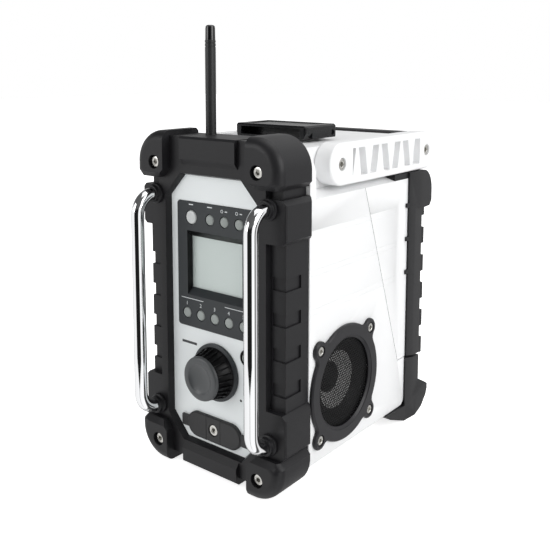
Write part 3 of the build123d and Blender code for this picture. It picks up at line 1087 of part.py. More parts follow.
# ---- Rear guards and feet -----------------------------------------------------------------------
REAR_SIDE_INSET = 1.5     # guards' side in front of their ridge
REAR_RIDGE_INSET = 0.5
REAR_END_INSET = 4.5      # rear corner of the spines
REAR_RIDGE = 11.0         # side wall's end to the spines' ridge
CAP_RIDGE = 19.0          # side wall's end to the ridge of the bumpers and feet
CAP_END_INSET = 3.0
REAR_INNER_INSET = 25.5
REAR_PAD_INSET = 17.5
REAR_BUMPER_HEIGHT = 38.3
REAR_BUMPER_ROUND = 22.0
REAR_SPLIT_RISE = 1.0     # seam's lower end to the gap over the rear feet, at its front
REAR_SPLIT_FALL = 0.2     # slope of that gap
REAR_SPLIT_GAP = 2.2
REAR_PAD_PITCH = 29.0
REAR_PAD_HEIGHT = 16.5
REAR_PAD_RISE = 2.2       # seam's lower end to the middle of the lowest pad
LEDGE_PAD = 26.0          # how far the rear bumpers reach forward under the arms
LEDGE_PAD_X = 66.0
TAB_PITCH = 33.3
TAB_RISE = 87.5           # seam's lower end to the lowest tab
TABS = 3
TAB_LENGTH_REAR = 4.5
FOOT_REACH = 37.0         # side wall's end to the front tip of the feet
FOOT_PAD_Z = 22.0         # outer edge of the pads' slope
FOOT_PAD_TOP = 34.0
FOOT_SLOPE = 6.0          # how far the slope leans in

REAR_SIDE_X = HALF - REAR_SIDE_INSET
REAR_INNER_X = HALF - REAR_INNER_INSET
REAR_PAD_X = HALF - REAR_PAD_INSET
REAR_END_X = HALF - REAR_END_INSET
REAR_SPINE_DEPTH = BACK_DEPTH + BACK_TO_SPINE
REAR_PAD_DEPTH = BACK_DEPTH + BACK_TO_PAD
REAR_BUMPER_TOP = PIVOT_Z - ARM_WIDTH / 2 - 1.0
REAR_BUMPER_BOTTOM = REAR_BUMPER_TOP - REAR_BUMPER_HEIGHT


def rear_section(front):
    """Plan of a rear spine, as (x, depth) points: ridged side, flat back."""
    return [(CORE_X - 1, front), (REAR_SIDE_X, front), (REAR_SIDE_X, CORNER_DEPTH + 1),
            (HALF - REAR_RIDGE_INSET, CORNER_DEPTH + REAR_RIDGE), (REAR_END_X, REAR_SPINE_DEPTH),
            (REAR_INNER_X, REAR_SPINE_DEPTH), (REAR_INNER_X, BACK_DEPTH - 1), (CORE_X - 1, BACK_DEPTH - 1)]


def cap_plan(front):
    """Plan of a rear bumper or foot, as (x, depth) points."""
    return [(REAR_BUMPER_X - 1, front), (REAR_SIDE_X, front), (REAR_SIDE_X, CORNER_DEPTH + 1),
            (HALF, CORNER_DEPTH + CAP_RIDGE), (HALF - CAP_END_INSET, REAR_DEPTH + 0.1),
            (REAR_BUMPER_X - 1, REAR_DEPTH + 0.1)]


def rear_split(depth, drop=0.0):
    """Height of the slanted gap between the rear guards and the feet."""
    return SEAM_LOW_Z + REAR_SPLIT_RISE - (depth - CORNER_DEPTH) * REAR_SPLIT_FALL - drop


def below_split(drop):
    """Everything under the gap's plane, beside the hinge."""
    d0, d1 = CORNER_DEPTH - 20, REAR_DEPTH + 10
    return prism_x([(d0, 0), (d1, 0), (d1, rear_split(d1, drop)), (d0, rear_split(d0, drop))],
                   REAR_BUMPER_X, HALF + 1)


def make_rear_guards():
    """Upper rear corner guards: bumper, ridged spine with pads, and the tabs on the side wall."""
    top, low = REAR_BUMPER_TOP, REAR_BUMPER_BOTTOM
    strip = prism_z(rear_section(CORNER_DEPTH), SEAM_LOW_Z - 12, low + 6)
    outline = [(CORNER_DEPTH, low + 4), (REAR_SPINE_DEPTH - 6, low), (REAR_DEPTH - 5, low),
               (REAR_DEPTH, low + 5),
               (REAR_DEPTH, top), (CORNER_DEPTH, top)]
    cap = prism_x(outline, REAR_BUMPER_X, HALF)
    crest = [e for e in cap.edges().filter_by(Axis.X)
             if e.center().Y > at(REAR_DEPTH) - 0.1 and e.center().Z > top - 0.1]
    cap = fillet(ShapeList(crest), REAR_BUMPER_ROUND) & prism_z(cap_plan(CORNER_DEPTH), 0, BUMPER_TOP)
    guard = strip + cap
    first = SEAM_LOW_Z + REAR_PAD_RISE
    for i in range(int((low - first) // REAR_PAD_PITCH) + 1):
        z = first + i * REAR_PAD_PITCH
        guard += block(REAR_PAD_X, REAR_END_X, at(REAR_SPINE_DEPTH - 4), at(REAR_PAD_DEPTH),
                       z - REAR_PAD_HEIGHT / 2, z + REAR_PAD_HEIGHT / 2)
    for i in range(TABS):
        z = SEAM_LOW_Z + TAB_RISE + i * TAB_PITCH
        guard += block(SIDE_X - 1, REAR_SIDE_X, at(CORNER_DEPTH - TAB_LENGTH_REAR), at(CORNER_DEPTH + 1),
                       z - 2, z + 2)
    guard += block(LEDGE_PAD_X, SIDE_X, at(CORNER_DEPTH - LEDGE_PAD), at(CORNER_DEPTH + 1), LEDGE_Z, top)
    guard -= below_split(0)
    wall = block(-SIDE_X, SIDE_X, at(0), at(CORNER_DEPTH), 0, LEDGE_Z)
    wall += block(-CORE_X, CORE_X, at(0), at(BACK_DEPTH), 0, LEDGE_Z)
    wall += block(-CORE_X, CORE_X, at(0), at(BACK_DEPTH + MOVE_GAP), 0, SEAM_LOW_Z)
    wall += block(-DECK_X, DECK_X, at(0), at(BACK_DEPTH), 0, BUMPER_TOP)
    ledge = [(SIDE_X, LEDGE_Z), (DECK_X, LEDGE_Z + LEDGE_RISE), (0, LEDGE_Z + LEDGE_RISE), (0, 0),
             (SIDE_X, 0)]
    guard -= wall + prism_y(ledge, 0, CORNER_DEPTH)
    parts["rear_guard_right"] = guard
    parts["rear_guard_left"] = mirrored(guard)


def make_feet():
    """Lower rear corner guards, which are also the rear feet."""
    tip = CORNER_FRONT - FOOT_REACH
    outline = [(tip, BODY_BOTTOM + 1), (tip + 9, 11), (tip + 24, 5), (tip + 37, 0), (REAR_DEPTH - 32, 0),
               (REAR_DEPTH - 15, 3.5), (REAR_DEPTH - 3, 12), (REAR_DEPTH, 18), (REAR_DEPTH, FOOT_PAD_Z + 1),
               (REAR_SPINE_DEPTH - 1, FOOT_PAD_TOP), (CORNER_FRONT, FOOT_PAD_TOP),
               (CORNER_FRONT, BODY_BOTTOM)]
    foot = prism_x(outline, REAR_BUMPER_X, HALF) & prism_z(cap_plan(tip - 1), 0, FOOT_PAD_TOP + 1)
    rise = (FOOT_PAD_TOP - FOOT_PAD_Z) / FOOT_SLOPE
    foot -= prism_y([(HALF + 1, FOOT_PAD_Z - rise), (HALF + 1, FOOT_PAD_TOP + 2),
                     (HALF - FOOT_SLOPE - 2 / rise, FOOT_PAD_TOP + 2)], CORNER_FRONT - 1, REAR_DEPTH + 1)
    foot += prism_z(rear_section(CORNER_FRONT), BODY_BOTTOM, SEAM_LOW_Z + 5) & below_split(REAR_SPLIT_GAP)
    foot -= prism_x(side_outline(), -SIDE_X, SIDE_X)
    foot -= block(-CORE_X, CORE_X, at(0), at(BACK_DEPTH), CORE_BOTTOM, BUMPER_TOP)
    parts["rear_foot_right"] = foot
    parts["rear_foot_left"] = mirrored(foot)


# ---- Handle -------------------------------------------------------------------------------------
POCKET_Y0 = 16.5          # pivot to the truss pocket
POCKET_Y1 = 14.5          # grip bolt to the truss pocket
POCKET_HALF = 12.4
POCKET_DEEP = 7.0
WEB_PITCH = 19.6
WEB_WIDE = 14.5
WEB_NARROW = 4.0
WEB_FIRST = 23.4          # pivot to the middle of the first web
GRIP_BOLT_LENGTH = 22.0


def make_handle():
    """Two truss-pocketed arms, the grip between their ends, and the bolts."""
    r, d0, d1 = ARM_WIDTH / 2, PIVOT_DEPTH, PIVOT_DEPTH + ARM_LENGTH
    arm = block(ARM_INNER_X, ARM_X, at(d0), at(d1), PIVOT_Z - r, PIVOT_Z + r)
    arm += rod_x(r, ARM_INNER_X, ARM_X, d0, PIVOT_Z) + rod_x(r, ARM_INNER_X, ARM_X, d1, PIVOT_Z)
    arm = fillet(edges_on(arm, "x", ARM_X), 2.0)
    low, high = PIVOT_Z - POCKET_HALF, PIVOT_Z + POCKET_HALF
    pocket = block(ARM_X - POCKET_DEEP, ARM_X + 1, at(d0 + POCKET_Y0), at(d1 - POCKET_Y1), low, high)
    count = int((ARM_LENGTH - WEB_FIRST - POCKET_Y1 - WEB_WIDE / 2) // WEB_PITCH) + 1
    for i in range(count):
        middle = d0 + WEB_FIRST + i * WEB_PITCH
        top, bottom = (WEB_NARROW, WEB_WIDE) if i % 2 == 0 else (WEB_WIDE, WEB_NARROW)
        web = [(middle - bottom / 2, low - 1), (middle + bottom / 2, low - 1), (middle + top / 2, high + 1),
               (middle - top / 2, high + 1)]
        pocket -= prism_x(web, 0, ARM_X + 2)
    arm -= pocket
    head_r = BOLT_HEAD_D / 2 + 0.8
    for depth, shank in ((d0, PIVOT_SHANK_D / 2 + PIN_GAP), (d1, BOLT_SHANK_D / 2 + PIN_GAP)):
        arm -= rod_x(head_r, ARM_X - 1.2 - BOLT_HEAD_H, ARM_X + 1, depth, PIVOT_Z)
        arm -= rod_x(shank, 0, ARM_X, depth, PIVOT_Z)
    parts["handle_arm_right"] = arm
    parts["handle_arm_left"] = mirrored(arm)
    middle, height = d1 + GRIP_BACKSET + 1.8, PIVOT_Z + GRIP_LIFT
    grip = block(-ARM_INNER_X, ARM_INNER_X, at(middle - GRIP_DEPTH / 2), at(middle + GRIP_DEPTH / 2),
                 height - GRIP_HEIGHT / 2, height + GRIP_HEIGHT / 2)
    grip = fillet(grip.edges().filter_by(Axis.X), GRIP_RADIUS)
    for sx in (-1, 1):
        hole = rod_x(BOLT_SHANK_D / 2, ARM_INNER_X - GRIP_BOLT_LENGTH, ARM_INNER_X + 1, d1, PIVOT_Z)
        grip -= hole if sx > 0 else mirrored(hole)
    parts["handle_grip"] = grip
    head_gap = SEAT_GAP
    face = ARM_X - 1.2 + head_gap
    pivot = bolt_x(d0, PIVOT_Z, face, ARM_X - 1.2 + head_gap - BOLT_HEAD_H - DECK_X + PIVOT_HOLD,
                   PIVOT_SHANK_D / 2)
    fixed = bolt_x(d1, PIVOT_Z, ARM_X - 1.2, ARM_X - 1.2 - BOLT_HEAD_H - ARM_INNER_X + GRIP_BOLT_LENGTH)
    parts["handle_pivot_bolts"] = Compound(children=[pivot, mirrored(pivot)])
    parts["handle_grip_bolts"] = Compound(children=[fixed, mirrored(fixed)])


# ---- Battery bay --------------------------------------------------------------------------------
BULKHEAD = 3.0
TERMINAL_X = 32.0
TERMINAL_DROP = 15.5      # ledge to the terminal
TERMINAL_HEIGHT = 82.0
TERMINAL_DEEP = 10.0
TERMINAL_SLOT = 24.0
RAIL_WIDTH = 5.0
RAIL_LIP = 4.0
HOLDER_X = 34.0
HOLDER_GAP = 2.0          # terminal to the backup cell holder
HOLDER_DEEP = 17.0
CELLS = 3
CELL_D = 14.5
CELL_PITCH = 15.2
CELL_LENGTH = 50.0

TERMINAL_HIGH = LEDGE_Z - TERMINAL_DROP
TERMINAL_LOW = TERMINAL_HIGH - TERMINAL_HEIGHT
HOLDER_HIGH = TERMINAL_LOW - HOLDER_GAP
HOLDER_LOW = HOLDER_HIGH - (CELLS + 0.3) * CELL_PITCH


def leaning(low, high, inner, outer):
    """A strip along the seam between two heights, from inner to outer depth behind it."""
    return [(seam_depth(low) + inner, low), (seam_depth(low) + outer, low),
            (seam_depth(high) + outer, high),
            (seam_depth(high) + inner, high)]


def make_battery_bay():
    """The leaning bulkhead with the backup cell holder on it, and what the batteries plug into."""
    x = SIDE_X - WALL - SEAT_GAP
    plate = prism_x(leaning(LOW_TOP - WALL + 0.5, BODY_TOP - WALL - SEAT_GAP, -BULKHEAD, 0), -x, x)
    holder = prism_x(leaning(HOLDER_LOW, HOLDER_HIGH, -1, HOLDER_DEEP), -HOLDER_X, HOLDER_X)
    for i in range(CELLS):
        z = (HOLDER_LOW + HOLDER_HIGH) / 2 + (i - (CELLS - 1) / 2) * CELL_PITCH
        holder -= rod_x(CELL_D / 2, -CELL_LENGTH / 2, CELL_LENGTH / 2, seam_depth(z) + HOLDER_DEEP, z)
    parts["bay_bulkhead"] = plate + holder
    terminal = prism_x(leaning(TERMINAL_LOW, TERMINAL_HIGH, 0, TERMINAL_DEEP), -TERMINAL_X, TERMINAL_X)
    for sx in (-1, 1):
        a, b = sx * (TERMINAL_X - RAIL_WIDTH - 4), sx * (TERMINAL_X - 4)
        rail = leaning(TERMINAL_LOW + 8, TERMINAL_HIGH - 6, TERMINAL_DEEP - 1, TERMINAL_DEEP + RAIL_LIP)
        terminal += prism_x(rail, min(a, b), max(a, b))
        blade = leaning(TERMINAL_LOW + 16, TERMINAL_LOW + 16 + TERMINAL_SLOT, TERMINAL_DEEP - 1,
                        TERMINAL_DEEP + 3)
        terminal += prism_x(blade, sx * 8 - 1, sx * 8 + 1)
    parts["battery_terminal"] = terminal


# ---- Build --------------------------------------------------------------------------------------
guard = make_guard() - antenna_hole()
parts["front_guard"] = guard
make_housings()
make_bumpers()
make_roll_bars()
parts["front_panel"] = make_panel()
parts["control_plate"] = make_control_plate()
make_display()
make_board()
make_buttons()
make_knob()
make_ports()
make_front_bolts()
make_speakers()
make_antenna()
parts["battery_housing"] = make_battery_housing()
make_hinge_pin()
make_latch()
make_rear_guards()
make_feet()
make_handle()
make_battery_bay()

os.makedirs("parts", exist_ok=True)
for name, shape in parts.items():
    export_step(shape, f"parts/{name}.step")
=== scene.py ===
"""Looks of a guarded jobsite radio: shells, guard, roll bars, controls, speakers, handle and latch."""

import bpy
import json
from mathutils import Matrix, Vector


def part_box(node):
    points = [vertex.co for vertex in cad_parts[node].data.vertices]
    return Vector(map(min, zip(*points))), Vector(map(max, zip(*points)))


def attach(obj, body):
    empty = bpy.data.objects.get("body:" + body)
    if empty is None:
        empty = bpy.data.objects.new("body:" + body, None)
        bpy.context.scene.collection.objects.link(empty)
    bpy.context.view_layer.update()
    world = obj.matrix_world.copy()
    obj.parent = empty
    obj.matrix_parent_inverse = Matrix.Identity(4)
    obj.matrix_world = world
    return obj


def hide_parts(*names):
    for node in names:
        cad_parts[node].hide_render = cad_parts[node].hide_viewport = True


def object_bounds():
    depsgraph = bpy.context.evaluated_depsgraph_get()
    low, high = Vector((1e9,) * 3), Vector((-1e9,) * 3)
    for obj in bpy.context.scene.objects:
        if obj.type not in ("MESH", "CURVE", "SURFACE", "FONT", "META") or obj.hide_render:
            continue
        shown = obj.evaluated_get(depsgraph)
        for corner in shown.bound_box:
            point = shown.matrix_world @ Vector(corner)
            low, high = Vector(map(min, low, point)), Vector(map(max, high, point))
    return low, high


bl_info = {
    "name": "Jobsite Radio",
    "version": (1, 0, 0),
    "blender": (4, 5, 0),
    "location": "View3D > Sidebar > Radio",
    "description": "Builds the pieces and finishes of a guarded jobsite radio",
    "category": "Object",
}

import json
import math

import bmesh
import bpy
from mathutils import Matrix, Vector

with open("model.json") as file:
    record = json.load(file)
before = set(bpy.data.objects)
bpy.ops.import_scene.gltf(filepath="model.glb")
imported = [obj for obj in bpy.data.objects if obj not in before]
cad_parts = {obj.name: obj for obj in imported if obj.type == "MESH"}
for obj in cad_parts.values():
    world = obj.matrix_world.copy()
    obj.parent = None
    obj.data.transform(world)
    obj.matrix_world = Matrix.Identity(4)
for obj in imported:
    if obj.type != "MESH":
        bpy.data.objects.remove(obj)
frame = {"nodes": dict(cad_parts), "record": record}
CAD_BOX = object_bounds()
NODES = frame["nodes"]
NODE_BODY = {node: name for name, nodes in frame["record"]["behaviour"]["bodies"].items() for node in nodes}

# Lengths here are in millimetres unless a comment says otherwise, and MM turns them into metres.
MM = 0.001

# ---- Modelling ----
FORWARD = (0, -1, 0)
UPWARD = (0, 0, 1)
SIDES = ("left", "right")
WELD = 0.001              # distance under which the points of a new piece are one
SOLID_WELD = 0.002        # the same in a copy of a solid
MESH_WELD = 0.01          # the same in the speaker mesh
FLAT_ANGLE = 0.5          # degrees under which the facets of a solid are one face
SMOOTH_ANGLE = 32         # degrees under which an edge is shaded smooth
TUBE_ANGLE = 40           # the same on the roll bars
CONE_ANGLE = 60           # the same on the speaker cones
EDGE_SEGMENTS = 2         # steps of a rounded edge
ROUND_MIDDLE = 0.3        # where the middle of a quarter round lies, as a share of its radius
BAR_SIDES = 48
BEND_STEPS = 14
BOLT_STEPS = 36
KNOB_STEPS = 96
ANTENNA_STEPS = 40
MARK_STEPS = 20

# ---- Shells and grooves ----
GROOVES = ((154.8, 149.9), (188.1, 183.2), (221.4, 216.5))   # heights of the side walls' paired grooves
GROOVE_ENDS = (47.0, 207.0)   # their ends behind the front
GROOVE_PROUD = 1.0        # how far the cutting bars stand out of the wall
# The slanted seam's faces between the housings get a grey painted shade, for the shade in the gap.
SEAM_LEAN = (0.05, 0.35)  # upward share of the slanted seam's faces
SEAM_SIDEWAYS = 0.02      # sideways share that those faces stay under

# ---- Front panel: places are right and up from the middle of the knob ----
VOLUME_BAR = (-32.4, 19.5)
VOLUME_BAR_SIZE = (18.0, 2.3)
RESET_PLACE = (27.6, -18.5)
# A dark disc over the reset pin hole: a painted shade in the hole.
RESET_HOLE = [(0, 0.06), (0.7, 0.06), (1.1, 0.02), (1.1, -0.5), (0, -0.5)]   # radius, height over the panel

# ---- Control plate: places are right and up from the middle of a key ----
PRESETS = 5
KEY_EDGE = 0.2            # rounding of a key
FONT_SHARE = 1.4          # text size for a figure's height
FIGURE_RISE = 8.6
PRESET_LINE_RISE = 13.3
PRESET_LINE_HEIGHT = 0.55
PRESET_LINE_ENDS = ((-6.8, 19.6), (6.2, -20.8))   # from the first preset key, and from the last
KEY_MARKS = (("power_button", 11.2, 5.0), ("source_button", 11.0, 5.6))   # key, rise, width
KEY_MARK_HEIGHT = 0.9
ALARM_RISE = 9.2
CLOCK_PLACE = -2.4
CLOCK_RING = [(1.0, 0), (1.45, 0), (1.45, 0.03), (1.0, 0.03), (1.0, 0)]   # radius, height over the plate
DASH_PLACE = 2.2
DASH_WIDTH = 2.6
# The display window's sloping walls that these find, all but the sill, get a near-black painted shade.
WINDOW_EDGE = 0.8         # depth at which the window's sloping walls begin
WINDOW_SLOPE = 8.0        # how far those walls reach beyond the display's lens
WINDOW_LEAN = (0.05, 0.95)   # forward share of their faces
WINDOW_SILL = 0.3         # upward share above which a wall is the sill, left as the plate is
LENS_GAP = 0.6            # air between the lens and the display
LENS_EDGE = 0.2
# Emission of the display: painted light that stands in for light reaching it through the lens, though it is
# no lamp.
DISPLAY_PAINTED_GLOW = 0.18

# ---- Volume knob: profiles are (radius, height along the axis) ----
KNOB_HEIGHT = 21.5        # from the front panel to the rim of the cap
KNOB_CAP = [(0, 18.5), (3, 18.6), (6, 18.95), (9, 19.55), (11.5, 20.35), (12.8, 20.95), (13.2, 21.35),
            (13.6, 21.5), (17.2, 21.5), (18.2, 21.25), (18.9, 20.6), (19.3, 19.6), (19.3, 18.7), (0, 18.2)]
KNOB_CORE = [(0, 17.9), (17.8, 18.4), (20.0, 6.6), (22.4, 3.6), (22.7, 3.2), (0, 3.0)]
KNOB_SKIRT = [(0, 3.4), (20.2, 3.4), (24.6, 3.1), (25.3, 2.7), (25.5, 2.1), (25.5, 0.6), (0, 0.6)]
KNOB_DRAFT = 3.6          # how much further out a rib stands at its low end
KNOB_RIB = (18.1, 3.4, 18.4, 0.75, 1.0)   # radius, low end, high end, half width, height over the core
RIB_CROWN = (0.6, 0.97)   # a rib's outer face, as shares of its width and length
RIB_EDGE = 0.35

# ---- Speakers: profiles are (radius, height over the surround's seat) ----
RING_EDGE = 0.6
SURROUND_RISE = 1.6       # how far the cone's solid stands over the surround's seat
SURROUND = [(39.6, 0), (38.4, 0), (37.6, 0.8), (36.3, 1.25), (34.8, 1.35), (33.3, 1.1), (32.0, 0.4),
            (31.0, -0.6), (28.6, -2.7), (26.0, -5.0)]
CONE = [(26.0, -5.0), (22.0, -8.5), (18.0, -11.6), (14.0, -13.8)]
DUST_CAP = [(14.0, -13.8), (13.4, -12.0), (11.0, -10.0), (8.0, -8.8), (4.0, -8.0), (0, -7.8)]
CONE_GAUGE = 0.5          # thickness of the surround, paper and cap

# ---- Antenna ----
ANTENNA_CAP = 13.0        # height of the tip
ANTENNA_RINGS = (5.6, 2.4)   # middles of the grooves under the tip
RING_WIDTHS = (0.5, 0.3)  # half width of a groove at the skin and at its floor
RING_DEPTH = 0.35
SHEATH_END = (0.94, 0.3)  # chamfer at the sheath's end: share of the radius, height
TIP_FOOT = (0.93, 0.2)    # foot of the tip: share of the radius, depth in the sheath
TIP_DOME = ((0.90, 3.0), (0.84, 1.2), (0.66, 0.3), (0.4, 0), (0, 0))   # share of the radius, drop from top
SOCKET_EDGE = 0.3         # rounding of the antenna's socket

# ---- Bolts: shares of the head's radius, unless a comment says otherwise ----
BOLT_LIP = 0.13
BOLT_SHANK = 0.45
BOLT_DISH = (0.56, 0.62)  # floor and rim of the sunk face
BOLT_SINK = 0.08          # depth of that face, as a share of the head's height
SOCKET_REACH = 0.52       # hexagon's corners
SOCKET_LENGTH = 1.3       # length of the tool that cuts it, half of it sunk, as a share of the head's height
HEAD_SHARE = 0.45         # highest head, as a share of the bolt
BOLT_SPIN = 0.7           # radians between one bolt's hexagon and the next
# Heights of the heads, in millimetres.
HEADS = {"front_bolts": 4.0, "speaker_bolts": 3.0, "handle_pivot_bolts": 4.0, "handle_grip_bolts": 4.0}

# ---- Finishes: noises are (scale, detail, roughness) ----
CLOUDS = (22.0, 3.0)
PATCHES = (60.0, 5.0)
GRAIN = (2.0, 0.6)        # detail and roughness; each finish has its own scale
SMUDGES = (45.0, 6.0, 0.6)
HAIRLINES = (900.0, 2.0)
NOISE_MIDDLE = 0.5        # about the mean of a noise
SMUDGE_LEVEL = 0.45       # noise that leaves the roughness as it is
MOULDED_BUMP = 0.1        # height of the grain
METAL_BUMP = 0.05         # height of the hairlines
COAT_ROUGHNESS = 0.15

# ---- Studio: angles are degrees round +Z, levels are shares of white ----
LAMPS = (("key", (1.9, 0.1, 1.1), 1.4, 22.5),   # name, place in metres, size in metres, watts
         ("front", (-0.9, -1.7, 0.9), 1.0, 11),
         ("top", (0.1, 0.2, 2.0), 1.6, 10))
LAMP_AIM = (0, 0, 0.15)   # in metres
# What gloss mirrors: (angle, level) along the horizon and over it.
PANELS = ((-180, 1.0), (-10, 1.15), (12, 1.15), (18, 0.10), (34, 0.10), (42, 1.0), (60, 0.7), (90, 0.45),
          (140, 0.6))
SKY = ((-180, 0.10), (-30, 0.12), (10, 1.1), (90, 1.0), (125, 0.5), (179, 0.12))
SKY_LINE = (0.2, 0.35)    # share of straight up where the sky fades in
STRIP = (-67, 33)         # middle and half width of the dark strip that gloss mirrors
STRIP_FOOT = (-0.43, -0.38)   # share of straight down where the strip ends in a point, and where it is whole
STRIP_GREY = 0.012
STRIP_EDGE = 12.0         # steepness of the strip's edges, per radian
AMBIENT = 0.55            # what matt faces get from all round
FLOOR_SIZE = 14           # in metres
FLOOR_DROP = 0.2
FLOOR_GREY = 0.94
FLOOR_ROUGHNESS = 0.8
FLOOR_GLOW = 0.75

# ---- Camera: metres and radians ----
CAMERA_PLACE = (0.44169, -0.58229, 0.35566)
CAMERA_YAW = -0.677
CAMERA_PITCH = -0.120
CAMERA_SENSOR = 36        # millimetres
CAMERA_LENS = 50.78       # millimetres
CAMERA_SHIFT = (0.01145, -0.20855)
CAMERA_CLIP = (0.01, 50)


# ---- Settings ----
def tint(label, text, colour):
    """A colour setting."""
    return bpy.props.FloatVectorProperty(name=label, description=text, subtype="COLOR", size=3, min=0,
                                         max=1, default=colour)


def length(label, text, millimetres):
    """A length setting, given in millimetres."""
    return bpy.props.FloatProperty(name=label, description=text, default=millimetres * MM, min=0,
                                   unit="LENGTH", precision=5)


def whole(label, text, number, least):
    """A whole number setting."""
    return bpy.props.IntProperty(name=label, description=text, default=number, min=least)


class RADIO_PG_finish(bpy.types.PropertyGroup):
    """Colours of the radio's finishes."""
    shell: tint("Shell", "White moulded housings", (0.86, 0.865, 0.87))
    panel: tint("Panel", "Front panel", (0.80, 0.835, 0.84))
    guard: tint("Guard", "Charcoal guard and bumpers", (0.0122, 0.0120, 0.0135))
    ring: tint("Speaker ring", "Charcoal speaker rings", (0.0150, 0.0145, 0.0170))
    plate: tint("Control plate", "Charcoal control plate", (0.028, 0.032, 0.035))
    knob: tint("Knob face", "Grey face of the volume knob", (0.053, 0.057, 0.060))
    cover: tint("Port cover", "Soft port cover", (0.026, 0.026, 0.027))
    chrome: tint("Chrome", "Plated tube of the roll bars", (0.86, 0.865, 0.875))
    steel: tint("Steel", "Bolts and pins", (0.62, 0.61, 0.58))
    key: tint("Keys", "Rubber keys", (0.29, 0.315, 0.303))
    power_key: tint("Power key", "Pale power key", (0.54, 0.56, 0.555))
    display: tint("Display", "Background of the display", (0.475, 0.53, 0.515))
    cone: tint("Cone", "Paper of the speaker cones", (0.60, 0.595, 0.59))
    ink: tint("Ink", "Printed figures and lines", (0.66, 0.69, 0.70))


class RADIO_PG_detail(bpy.types.PropertyGroup):
    """Sizes of the fine detail."""
    edge: length("Edge", "Rounding of moulded edges", 0.7)
    fine_edge: length("Fine edge", "Rounding of small moulded edges", 0.35)
    arm_edge: length("Arm edge", "Rounding of the handle arms", 1.0)
    bar_bend: length("Bar bend", "Radius of the roll bars' bends", 17.0)
    mesh_pitch: length("Mesh pitch", "Distance between holes of the speaker mesh", 2.5)
    mesh_hole: length("Mesh hole", "Width of a hole of the speaker mesh", 1.85)
    mesh_gauge: length("Mesh gauge", "Thickness of the speaker mesh", 0.5)
    groove: length("Groove", "Width of the grooves along the side walls", 0.7)
    groove_depth: length("Groove depth", "Depth of the grooves along the side walls", 0.35)
    figure: length("Figure", "Height of the preset figures", 3.3)
    ink_height: length("Ink height", "Thickness of printed marks", 0.05)
    knob_ribs: whole("Knob ribs", "Ribs round the volume knob", 24, 6)
    turn_steps: whole("Turn steps", "Steps of a turned piece", 72, 16)


def finish_settings():
    return bpy.context.scene.radio_finish


def detail_settings():
    return bpy.context.scene.radio_detail


# ---- Modelling helpers ----
def deselect():
    """Leaves edit mode, with nothing selected."""
    if bpy.context.mode != "OBJECT":
        bpy.ops.object.mode_set(mode="OBJECT")
    bpy.ops.object.select_all(action="DESELECT")


def choose(piece):
    """Makes one piece the only selected and the active one."""
    deselect()
    piece.hide_viewport = False
    piece.select_set(True)
    bpy.context.view_layer.objects.active = piece


def named(name):
    """Names the object that an operator has just added."""
    piece = bpy.context.object
    piece.name = name
    piece.data.name = name
    return piece


def settle(piece):
    """Moves a piece's place, turn and scale into its mesh."""
    choose(piece)
    bpy.ops.object.transform_apply(location=True, rotation=True, scale=True)
    return piece


def edit(action="SELECT"):
    """Enters edit mode with everything selected, or nothing."""
    bpy.ops.object.mode_set(mode="EDIT")
    bpy.ops.mesh.select_all(action=action)


def weld(millimetres):
    """In edit mode, merges the points that are closer than a distance."""
    bpy.ops.mesh.select_all(action="SELECT")
    bpy.ops.mesh.remove_doubles(threshold=millimetres * MM)


def pick(piece, kind, test):
    """In edit mode, selects the VERTs or FACEs that pass a test."""
    edit("DESELECT")
    bpy.ops.mesh.select_mode(type=kind)
    mesh = bmesh.from_edit_mesh(piece.data)
    for part in mesh.verts if kind == "VERT" else mesh.faces:
        if test(part):
            part.select_set(True)
    bmesh.update_edit_mesh(piece.data)


def apply_modifier(piece, kind, **values):
    """Adds a modifier, sets it and applies it."""
    choose(piece)
    modifier = piece.modifiers.new(kind.title(), kind)
    for key, value in values.items():
        setattr(modifier, key, value)
    bpy.ops.object.modifier_apply(modifier=modifier.name)
    return piece


def smooth(piece, degrees=SMOOTH_ANGLE):
    """Shades a piece smooth over edges under an angle."""
    choose(piece)
    bpy.ops.object.shade_smooth_by_angle(angle=math.radians(degrees))
    return piece


def cut(piece, tool):
    """Takes a tool's shape out of a piece and deletes the tool."""
    apply_modifier(piece, "BOOLEAN", operation="DIFFERENCE", solver="EXACT", object=tool)
    bpy.data.objects.remove(tool)
    return piece


def turned(name, profile, centre, axis, steps=None):
    """Spins a profile of (radius, height) points in millimetres round an axis through a centre in metres."""
    deselect()
    bpy.ops.mesh.primitive_plane_add(size=MM, location=(0, 0, 0))
    piece = named(name)
    bpy.ops.object.mode_set(mode="EDIT")
    bpy.ops.mesh.merge(type="CENTER")
    bpy.ops.transform.translate(value=(profile[0][0] * MM, 0, profile[0][1] * MM))
    for (r0, h0), (r1, h1) in zip(profile, profile[1:]):
        run = ((r1 - r0) * MM, 0, (h1 - h0) * MM)
        bpy.ops.mesh.extrude_region_move(TRANSFORM_OT_translate={"value": run})
    bpy.ops.mesh.select_all(action="SELECT")
    bpy.ops.mesh.spin(steps=steps or detail_settings().turn_steps, angle=2 * math.pi, center=(0, 0, 0),
                      axis=UPWARD)
    weld(WELD)
    bpy.ops.mesh.normals_make_consistent(inside=False)
    piece.rotation_mode = "QUATERNION"
    piece.rotation_quaternion = Vector(axis).to_track_quat("Z", "Y")
    piece.location = centre
    return smooth(settle(piece))


def slab(name, low, high, edge=0.0):
    """A block between two corners in metres, with rounded edges."""
    deselect()
    low, high = Vector(low), Vector(high)
    bpy.ops.mesh.primitive_cube_add(size=1, location=(low + high) / 2)
    piece = named(name)
    piece.scale = high - low
    settle(piece)
    if edge:
        edit()
        bpy.ops.mesh.bevel(offset=edge, segments=EDGE_SEGMENTS, affect="EDGES", clamp_overlap=True)
        bpy.ops.object.mode_set(mode="OBJECT")
    return piece


